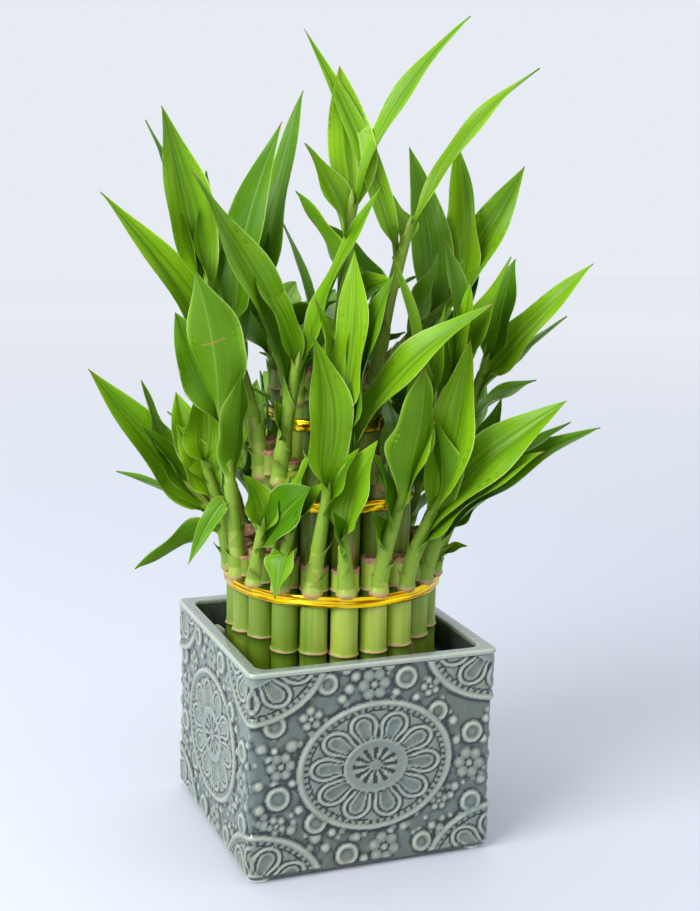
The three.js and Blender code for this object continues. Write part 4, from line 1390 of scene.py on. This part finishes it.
def add_bract(guide, place, at, turn, size, draw):
    """A short scale that clasps the shoot and ends in a small free point."""
    path = place.path
    azimuth = place.azimuth + turn
    s = np.linspace(0, 1, 10)
    t = np.clip(at + (s - 0.4) * size / path.span, 0, 1)
    ahead = path.tangent(t)
    side = squared(heading(azimuth + 90), ahead)
    radius = stem_radius(t) + 0.35 + 0.25 * s
    away = radius + ease(s, 0.4, 1.1) * size * draw(0.1, 0.3)
    half = radius * 2.7 * (1 - ease(s, 0.05, 1.02)) + 0.05
    guide.chain(
        path.point(t) + squared(heading(azimuth), ahead) * away[:, None], side, np.cross(ahead, side),
        part=BLADE, half=half, wrap=np.maximum(half / radius, 0.05), thick=0.4 - 0.2 * s, along=0.3 * s,
        dry=0.85 * ease(s, 0.75, 1.0) * (draw() < 0.7), seed=draw(), young=0.6,
        sheath=1 - 0.5 * ease(s, 0.4, 1),
    )


def add_bracts(guide, place):
    """The scales at a shoot's foot, by turns on one side and the other."""
    draw = draws_from(int(place.azimuth * 13) + 3)
    first_turn = draw(0, 360)
    for k, at in enumerate(BRACTS):
        turn = first_turn + 180 * k + draw(-30, 30)
        add_bract(guide, place, at, turn, draw(11, 17), draw)


def stalk_tree():
    """Sweeps round stems and folded blades along the chains of a stalk's guide."""
    graph, given, sink = geometry_tree(
        "Stalk", stem_sides="Int", blade_points="Int", fold="Float", ripple="Float",
        cane_finish="Material", leaf_finish="Material",
    )
    split = graph.node("GeometryNodeSeparateGeometry", {
        "Geometry": given["geometry"], "Selection": graph.named("part") > 0.5,
    }, domain="POINT")
    blade_chains, stem_chains = (Wire(graph, socket) for socket in split.outputs)
    centre, side, above = map(graph.named_vector, ("centre", "side", "above"))
    half, along, seed, cut, ring = map(graph.named, ("half", "along", "seed", "cut", "ring"))
    turn = graph.named("round") * (2 * math.pi)
    cos, sin = turn.cos(), turn.sin()

    def shaped(body, x, y):
        away = graph.added(graph.scaled(side, x), graph.scaled(above, y))
        return graph.put(body, graph.added(centre, away))

    # Stems: round, faintly uneven, and ragged where the cane was sawn
    spot = graph.spot(cos, sin, along * 3.0 + seed * 40.0)

    def rough(scale, detail=2.0):
        return graph.noise(spot, scale, detail) - 0.5

    radius = half * (1.0 + rough(1.1) * 0.05 + rough(4.5) * cut * 0.22 + rough(3.0) * ring * 0.09)
    stems = shaped(graph.sweep(stem_chains, given["stem_sides"]), radius * cos, radius * sin)
    lift = rough(5.5, 3.0) * cut * 0.0022 + rough(1.3, 1.0) * ring * 0.0022
    stems = graph.add("GeometryNodeSetPosition", {"Geometry": stems, "Offset": graph.spot(z=lift)})

    # Blades: across runs from one margin over the upper face to the other and back beneath
    leaves = graph.sweep(blade_chains, given["blade_points"])
    leaves = graph.store(leaves, "across", abs(graph.named("round") * 4.0 - 2.0) - 1.0)
    leaves = graph.store(leaves, "face", sin)
    across, face, wrap = map(graph.named, ("across", "face", "wrap"))
    away, square = abs(across), across * across
    curl, reach, free = across * wrap, half / wrap, 1.0 - graph.named("sheath")
    wave = (along * 13.0 + seed * 50.0 + across * 1.2).sin()
    slow = (along * 5.5 + seed * 91.0).sin()
    groove = (1.0 - away.fit(0.0, 0.22)) * 0.0005
    lifted = (
        reach * (1.0 - curl.cos()) + half * away * given["fold"] * free
        + half * square * wave * given["ripple"] * free + half * across * slow * 0.05 * free - groove * free
    )
    skin = face * graph.named("thick") * 0.5 * (1.02 - square).root()
    leaves = shaped(leaves, reach * curl.sin() - skin * curl.sin(), lifted + skin * curl.cos())
    leaves = graph.add("GeometryNodeSetShadeSmooth", {
        "Geometry": graph.smooth(leaves), "Selection": away > MARGIN_FROM, "Shade Smooth": False,
    }, domain="EDGE")
    both = graph.join(graph.smooth(stems), leaves)
    return finished(graph, both, sink, (given["cane_finish"], STEM), (given["leaf_finish"], BLADE))


def leaf_material(settings):
    """A glossy leaf: fresh green with a deeper middle, fine lengthwise veins, pale margins, dull beneath."""
    graph, shader, material = surface("leaf blade")
    across, along, seed, face = map(graph.stored, ("across", "along", "seed", "face"))
    young, sheath, dry, scratched = map(graph.stored, ("young", "sheath", "dry", "scratch"))
    width = abs(across)
    bands = graph.noise(graph.spot(across * 8.0, along * 1.8, seed * 30.0), 1.0)
    cloud = graph.noise(graph.place(), 38)
    tone = young * 0.5 + seed * 0.5 + (cloud - 0.5) * 0.8
    veins = (across * 25.0 + bands * 5.0).sin()
    # One leaf bears a dry scratch across it
    scratch = abs(along + across * -0.05 - SCRATCH_AT).fit(0.008, 0.002)
    body = graph.layered(
        settings.leaf_color,
        (tone.fit(0.1, 0.95), settings.young_color),
        (seed.fit(0.28, 0.1, 0, 0.5), settings.stripe_color),
        (width.fit(0.85, 0.15) * bands.fit(0.3, 0.65) * 0.6, settings.stripe_color),
        (veins.fit(-0.2, 1.0, 0, 0.13), settings.stripe_color),
        (width.fit(0.92, 1.0, 0, 0.6), settings.margin_color),
        (face.fit(-0.05, -0.4, 0, 0.85), settings.under_color),
        (sheath * 0.65, settings.sheath_color),
        (width.fit(0.86, 0.98) * sheath * 0.7, settings.dry_color),
        (width.fit(0.07, 0.0, 0, 0.35), settings.sheath_color),
        (dry, settings.dry_color),
        (scratch * width.fit(0.5, 0.36) * scratched * 0.85, settings.dry_color),
    )
    relief = (veins * 0.12 + bands) * (width.fit(0.95, 0.7) * along.fit(0.98, 0.7))
    graph.give(shader, {
        "Base Color": body, "Roughness": face.fit(-0.3, 0.3, 0.5, 0.34) + (bands - 0.5) * 0.12,
        "Subsurface Weight": 0.22, "Subsurface Radius": (0.0015, 0.003, 0.0008),
        "Specular IOR Level": 0.14, "Coat Weight": 0.04, "Coat Roughness": 0.2,
        "Normal": graph.bump(relief, 0.0002, 0.6),
    })
    return material


def cane_material(settings):
    """Satin green cane skin: lengthwise streaks, a pinkish ring at each node, painted shade below each node
    and low down in the pot, brown where it was sawn.
    """
    graph, shader, material = surface("cane skin")
    ring, cut, young, seed, shade = map(graph.stored, ("ring", "cut", "young", "seed", "dry"))
    streak = graph.noise(graph.place((420, 420, 16)), 1.0, 3.0)
    patch = graph.noise(graph.place((60, 60, 22)), 1.0)
    fibre = graph.noise(graph.place((900, 900, 500)), 1.0, 3.0, 0.7)
    scar = graph.noise(graph.place((110, 110, 26)), 1.0, 3.0, 0.6)
    tone = patch * 0.95 + streak * 0.8 + seed * 0.6 - 0.17
    ringed = (ring + (fibre - 0.5) * 0.5).fit(0.35, 0.75) * patch.fit(0.3, 0.5, 0.3, 1.0)
    sawn = (cut + (fibre - 0.5) * 0.6).fit(0.45, 0.8)
    coarse = fibre.fit(0.35, 0.65)
    body = graph.layered(
        settings.cane_color,
        (tone.fit(0.6, 1.35), settings.cane_light_color),
        # Painted shade: darker below each node and low down in the pot
        (shade * 0.85, settings.cane_shade_color),
        (young * 0.6, settings.sheath_color),
        (scar.fit(0.62, 0.68) * young.fit(0.3, 0.0) * 0.7, settings.ring_color),
        (ringed, graph.mix(coarse, settings.ring_color, tint("#b98a63"))),
        (sawn, graph.mix(coarse, settings.cut_color, tint("#b18a68"))),
    )
    graph.give(shader, {
        "Base Color": body, "Roughness": streak.fit(0.3, 0.7, 0.3, 0.42) + (ringed + sawn) * 0.35,
        "Subsurface Weight": 0.1, "Subsurface Radius": (0.002, 0.004, 0.001),
        "Normal": graph.bump(streak * 0.5 + fibre * (ring + cut), 0.0005, 0.7),
    })
    return material


# The stage, the lights and the camera

CAMERA_PLACE = (-249.8, -653.4, 324.0)
CAMERA_TURN = -21.54
CAMERA_RISE = 11.41
CAMERA_ROLL = 1.29
CAMERA_LENS = 59.34
CAMERA_SENSOR = 36.0
# Name, place, size, power, colour, aimed at
LIGHTS = (
    ("window light", (-1000, -420, 820), 800, 18.5, "#fbfcff", (0, 0, 180)),
    ("room light", (900, -1000, 700), 1100, 2.0, "#fff8ee", (0, 0, 150)),
    ("sky light", (100, 700, 1200), 1200, 4.0, "#f4f8ff", (0, 0, 200)),
)


def camera_matrix():
    """The camera's place and turn, with the slight roll of the view."""
    turn, rise, roll = map(math.radians, (CAMERA_TURN, CAMERA_RISE, CAMERA_ROLL))
    back = Vector((math.sin(turn) * math.cos(rise), -math.cos(turn) * math.cos(rise), math.sin(rise)))
    right = Vector((0, 0, 1)).cross(back).normalized()
    up = back.cross(right)
    level = Matrix((right, up, back)).transposed()
    matrix = (level @ Matrix.Rotation(roll, 3, "Z")).to_4x4()
    matrix.translation = Vector(CAMERA_PLACE) * MM
    return matrix


def aimed(place, target):
    """A light's matrix at a place, looking at a target."""
    look = (Vector(target) - Vector(place)).normalized()
    matrix = look.to_track_quat("-Z", "Y").to_matrix().to_4x4()
    matrix.translation = Vector(place) * MM
    return matrix


def floor_material(settings):
    """A pale matt floor that grows paler away from the pot, up to the surroundings' own tone."""
    graph, shader, material = surface("pale floor")
    away = graph.add("ShaderNodeVectorMath", {0: graph.place()}, out="Value", operation="LENGTH")
    graph.give(shader, {
        "Base Color": graph.mix(away.fit(0.3, 2.5), settings.floor_color, settings.far_color),
        "Roughness": 0.75, "Specular IOR Level": 0.1,
    })
    return material


# What a user may change


def length(name, text, default, low, high):
    """A size in metres, given in millimetres."""
    return FloatProperty(
        name=name, description=text, default=default * MM, min=low * MM, max=high * MM,
        unit="LENGTH", precision=5,
    )


def count(name, text, default, low, high):
    """A whole number between two others."""
    return IntProperty(name=name, description=text, default=default, min=low, max=high)


def amount(name, text, default):
    """A strength from 0 up."""
    return FloatProperty(name=name, description=text, default=default, min=0)


def colour(name, text, code):
    """A colour written as the eye sees it."""
    return FloatVectorProperty(
        name=name, description=text, default=tint(code), size=3, min=0, max=1, subtype="COLOR",
    )


class PotSettings(bpy.types.PropertyGroup):
    relief: FloatProperty(
        name="Relief", description="How far the ornament stands out, as a share of its full depth",
        default=1.0, min=0.2, max=1.0, subtype="FACTOR",
    )
    glaze_color: colour("Glaze", "Glaze on what is raised", "#7c8678")
    ground_color: colour("Ground", "Glaze on the flat ground", "#5a655b")
    # Crests: thin glaze and painted highlight. Recesses and blue pools: pooled glaze and painted shade, also
    # the painted shade inside the pot
    thin_glaze_highlight_color: colour("Crests", "Glaze that ran thin on the crests", "#adb6a5")
    recess_pool_shade_color: colour("Recesses", "Glaze that pooled at the crests' feet", "#101613")
    blue_pool_shade_color: colour("Blue pools", "Blue spots in the deepest glaze", "#18222f")
    blue_color: colour("Blue clouds", "Faint blue clouds in the glaze", "#66757a")


class PadSettings(bpy.types.PropertyGroup):
    sides: count("Sides", "Sides of a pad's outline", 40, 12, 96)
    pad_color: colour("Rubber", "Clear rubber of the pads", "#dfe3df")


class PebbleSettings(bpy.types.PropertyGroup):
    spacing: length("Spacing", "Least distance between pebbles", 4.6, 2, 15)
    smallest: length("Smallest", "Half the size of the smallest pebble", 2.2, 1, 6)
    largest: length("Largest", "Half the size of the largest pebble", 3.9, 1, 8)
    grit_spacing: length("Grit spacing", "Least distance between grains of grit", 1.9, 1, 10)
    seed: count("Seed", "Another strewing of the pebbles", 4, 0, 999)
    stone_color: colour("Stone", "Middling pebbles", "#8c8068")
    pale_color: colour("Pale stone", "Palest pebbles", "#c3c9b4")


class RibbonSettings(bpy.types.PropertyGroup):
    width: length("Width", "Width of the ribbon", TIE_HEIGHT, 2, 8)
    thickness: length("Thickness", "Thickness of the folded ribbon", 0.5, 0.2, 1)
    crease: length("Crease", "Depth of the ribbon's creases", 0.45, 0, 1)
    gold_color: colour("Gold", "Gold foil", "#f9cf0e")
    # Colour of the painted shade and painted reflection in the foil's folds
    shade_color: colour("Deep gold", "Gold foil in its folds", "#995a05")


class StalkSettings(bpy.types.PropertyGroup):
    stem_sides: count("Stem sides", "Sides of a cane or shoot", 28, 8, 64)
    blade_points: count("Blade points", "Points round a blade", 20, 8, 40)
    fold: amount("Fold", "How far a blade's halves rise from its middle", 0.15)
    ripple: amount("Ripple", "How much a blade's margins wave", 0.19)
    leaf_color: colour("Leaf", "Grown leaf", "#55880e")
    young_color: colour("Young leaf", "Young leaf", "#7ca914")
    stripe_color: colour("Leaf middle", "Deeper green along a leaf's middle", "#336306")
    margin_color: colour("Leaf margin", "Pale margin of a leaf", "#bdd47c")
    under_color: colour("Underside", "Dull underside of a leaf", "#507a0a")
    sheath_color: colour("Sheath", "Sheaths and young shoots", "#8ca83f")
    dry_color: colour("Dry tip", "Dry tips of leaves", "#9a7038")
    cane_color: colour("Cane", "Cane skin", "#668214")
    cane_light_color: colour("Light cane", "Lighter streaks of the canes", "#97ab38")
    # Colour of the painted shade below a node and low in the pot
    cane_shade_color: colour("Shaded cane", "Cane below a node", "#2c4c0c")
    ring_color: colour("Node ring", "Rings at the nodes", "#b9936a")
    cut_color: colour("Sawn top", "Sawn tops of the canes", "#7a4f38")


class StageSettings(bpy.types.PropertyGroup):
    floor_size: length("Floor size", "Half the floor's width", 3000, 500, 8000)
    floor_color: colour("Floor", "Pale floor", "#c8ccd3")
    far_color: colour("Far floor", "Floor far from the pot", "#fbfbfb")
    sky_color: colour("Surroundings", "Soft light from all round", "#eef2fa")
    sky_power: amount("Surroundings' strength", "Light from all round", 0.94)
    light_power: amount("Lights", "Strength of all studio lights", 1.0)


# One operator for each piece or group of like pieces


class BAMBOO_OT_pot(bpy.types.Operator):
    """Makes the square pot with its raised ornament and its glaze"""
    bl_idname = "bamboo.pot"
    bl_label = "Glazed pot"

    def execute(self, context):
        settings = context.scene.bamboo_pot
        mesh = pot_mesh(settings.relief)
        mesh.materials.append(glaze_material(settings))
        add_piece("planter", mesh, "glaze", "pot")
        return {"FINISHED"}


class BAMBOO_OT_bumpers(bpy.types.Operator):
    """Makes the four clear bumper pads under the pot"""
    bl_idname = "bamboo.bumpers"
    bl_label = "Bumper pads"

    def execute(self, context):
        settings = context.scene.bamboo_pads
        tree = round_tree()
        rubber = bumper_material(settings)
        radius, z = np.array(PAD_PROFILE).T
        for k, (x, y) in enumerate(((-1, -1), (1, -1), (1, 1), (-1, 1)), 1):
            centre = np.column_stack((np.full(len(z), x * PAD_SPOT), np.full(len(z), y * PAD_SPOT), z))
            edges = [(i, i + 1) for i in range(len(z) - 1)]
            guide = plain_mesh("pad_spine", centre, edges=edges, centre=centre * MM, wide=radius * MM)
            mesh = grow(f"bumper_{k}", guide, tree, sides=settings.sides, finish=rubber)
            add_piece(f"bumper_{k}", mesh, "pad", f"foot_pad_{k}")
        return {"FINISHED"}


class BAMBOO_OT_pebbles(bpy.types.Operator):
    """Strews the bed of pebbles and grit round the canes"""
    bl_idname = "bamboo.pebbles"
    bl_label = "Pebbles"

    def execute(self, context):
        settings = context.scene.bamboo_pebbles
        mesh = grow(
            "pebbles", bed_mesh(), pebble_tree(), spacing=settings.spacing, smallest=settings.smallest,
            largest=settings.largest, grit_spacing=settings.grit_spacing, seed=settings.seed,
            finish=pebble_material(settings),
        )
        add_piece("pebbles", mesh, "pebble", "pebble_bed")
        return {"FINISHED"}


class BAMBOO_OT_ribbons(bpy.types.Operator):
    """Ties each tier with its creased gold ribbon"""
    bl_idname = "bamboo.ribbons"
    bl_label = "Gold ribbons"

    def execute(self, context):
        settings = context.scene.bamboo_ribbons
        tree = ribbon_tree()
        foil = foil_material(settings)
        for number, (tier_name, tier) in enumerate(TIERS.items()):
            turns = [tier["first"] + 360 * k / tier["count"] for k in range(tier["count"])]
            centres = [heading(turn)[:2] * tier["radius"] for turn in turns]
            if tier_name == "inner":
                middle = TIERS["middle"]
                turn = middle["first"] + 360 * TALL_MIDDLE_CANE / middle["count"]
                centres.append(heading(turn)[:2] * middle["radius"])
            mesh = grow(
                "ribbon_" + tier_name, ribbon_guide(centres, tier["tie"]), tree, width=settings.width,
                thickness=settings.thickness, crease=settings.crease, seed=3.0 * number, finish=foil,
            )
            add_piece("ribbon_" + tier_name, mesh, "foil", "tie_" + tier_name)
        return {"FINISHED"}


class BAMBOO_OT_stalks(bpy.types.Operator):
    """Grows every stalk: its cane, its shoot and its leaves"""
    bl_idname = "bamboo.stalks"
    bl_label = "Stalks"

    def execute(self, context):
        settings = context.scene.bamboo_stalks
        tree = stalk_tree()
        cane, blade = cane_material(settings), leaf_material(settings)
        leaf_draw = draws_from(LEAF_SEED)
        for place in stalk_places():
            guide = Guide()
            add_cane(guide, place)
            add_shoot(guide, place)
            for number, grown in enumerate(grown_leaves(place)):
                add_leaf(guide, place, grown, number, leaf_draw)
            add_bracts(guide, place)
            name = place.name.replace("stalk", "bamboo")
            mesh = grow(
                name, guide.mesh(), tree, stem_sides=settings.stem_sides, blade_points=settings.blade_points,
                fold=settings.fold, ripple=settings.ripple, cane_finish=cane, leaf_finish=blade,
            )
            add_piece(name, mesh, "bamboo", place.name)
        return {"FINISHED"}


class BAMBOO_OT_stage(bpy.types.Operator):
    """Sets the pale floor, the soft lights and the camera"""
    bl_idname = "bamboo.stage"
    bl_label = "Stage"

    def execute(self, context):
        scene = context.scene
        settings = scene.bamboo_stage
        half = settings.floor_size / MM
        corners = [(-half, -half, 0), (half, -half, 0), (half, half, 0), (-half, half, 0)]
        ground = bpy.data.objects.new("floor", plain_mesh("floor", corners, [(0, 1, 2, 3)]))
        ground.data.materials.append(floor_material(settings))
        scene.collection.objects.link(ground)

        for name, place, size, power, code, target in LIGHTS:
            lamp = bpy.data.lights.new(name, "AREA")
            lamp.size = size * MM
            lamp.energy = power * settings.light_power
            lamp.color = tint(code)
            light = bpy.data.objects.new(name, lamp)
            light.matrix_world = aimed(place, target)
            scene.collection.objects.link(light)

        world = bpy.data.worlds.new("soft surroundings")
        world.use_nodes = True
        back = world.node_tree.nodes["Background"]
        back.inputs["Color"].default_value = (*settings.sky_color, 1)
        back.inputs["Strength"].default_value = settings.sky_power
        scene.world = world
        scene.view_settings.view_transform = "Standard"

        eye = bpy.data.cameras.new("camera")
        eye.lens = CAMERA_LENS
        eye.sensor_width = CAMERA_SENSOR
        eye.clip_start = 0.01
        camera = bpy.data.objects.new("camera", eye)
        camera.matrix_world = camera_matrix()
        scene.collection.objects.link(camera)
        scene.camera = camera
        return {"FINISHED"}


OPERATORS = (
    BAMBOO_OT_pot, BAMBOO_OT_bumpers, BAMBOO_OT_pebbles, BAMBOO_OT_ribbons, BAMBOO_OT_stalks, BAMBOO_OT_stage,
)
SETTINGS = {
    "bamboo_pot": PotSettings, "bamboo_pads": PadSettings, "bamboo_pebbles": PebbleSettings,
    "bamboo_ribbons": RibbonSettings, "bamboo_stalks": StalkSettings, "bamboo_stage": StageSettings,
}


class BAMBOO_PT_panel(bpy.types.Panel):
    """Sizes, colours and makers of the lucky bamboo's pieces"""
    bl_idname = "BAMBOO_PT_panel"
    bl_label = "Lucky bamboo"
    bl_space_type = "VIEW_3D"
    bl_region_type = "UI"
    bl_category = "Bamboo"

    def draw(self, context):
        for operator, group_name in zip(OPERATORS, SETTINGS):
            box = self.layout.box()
            box.operator(operator.bl_idname)
            group = getattr(context.scene, group_name)
            for name in group.bl_rna.properties.keys():
                if name not in {"rna_type", "name"}:
                    box.prop(group, name)


def register():
    for group_name, group in SETTINGS.items():
        bpy.utils.register_class(group)
        setattr(bpy.types.Scene, group_name, PointerProperty(type=group))
    for operator in OPERATORS:
        bpy.utils.register_class(operator)
    bpy.utils.register_class(BAMBOO_PT_panel)


def unregister():
    bpy.utils.unregister_class(BAMBOO_PT_panel)
    for operator in reversed(OPERATORS):
        bpy.utils.unregister_class(operator)
    for group_name, group in SETTINGS.items():
        delattr(bpy.types.Scene, group_name)
        bpy.utils.unregister_class(group)


def main():
    """Makes every piece."""
    register()
    for operator in OPERATORS:
        name = operator.bl_idname.split(".")[1]
        getattr(bpy.ops.bamboo, name)()


if __name__ == "__main__":
    main()
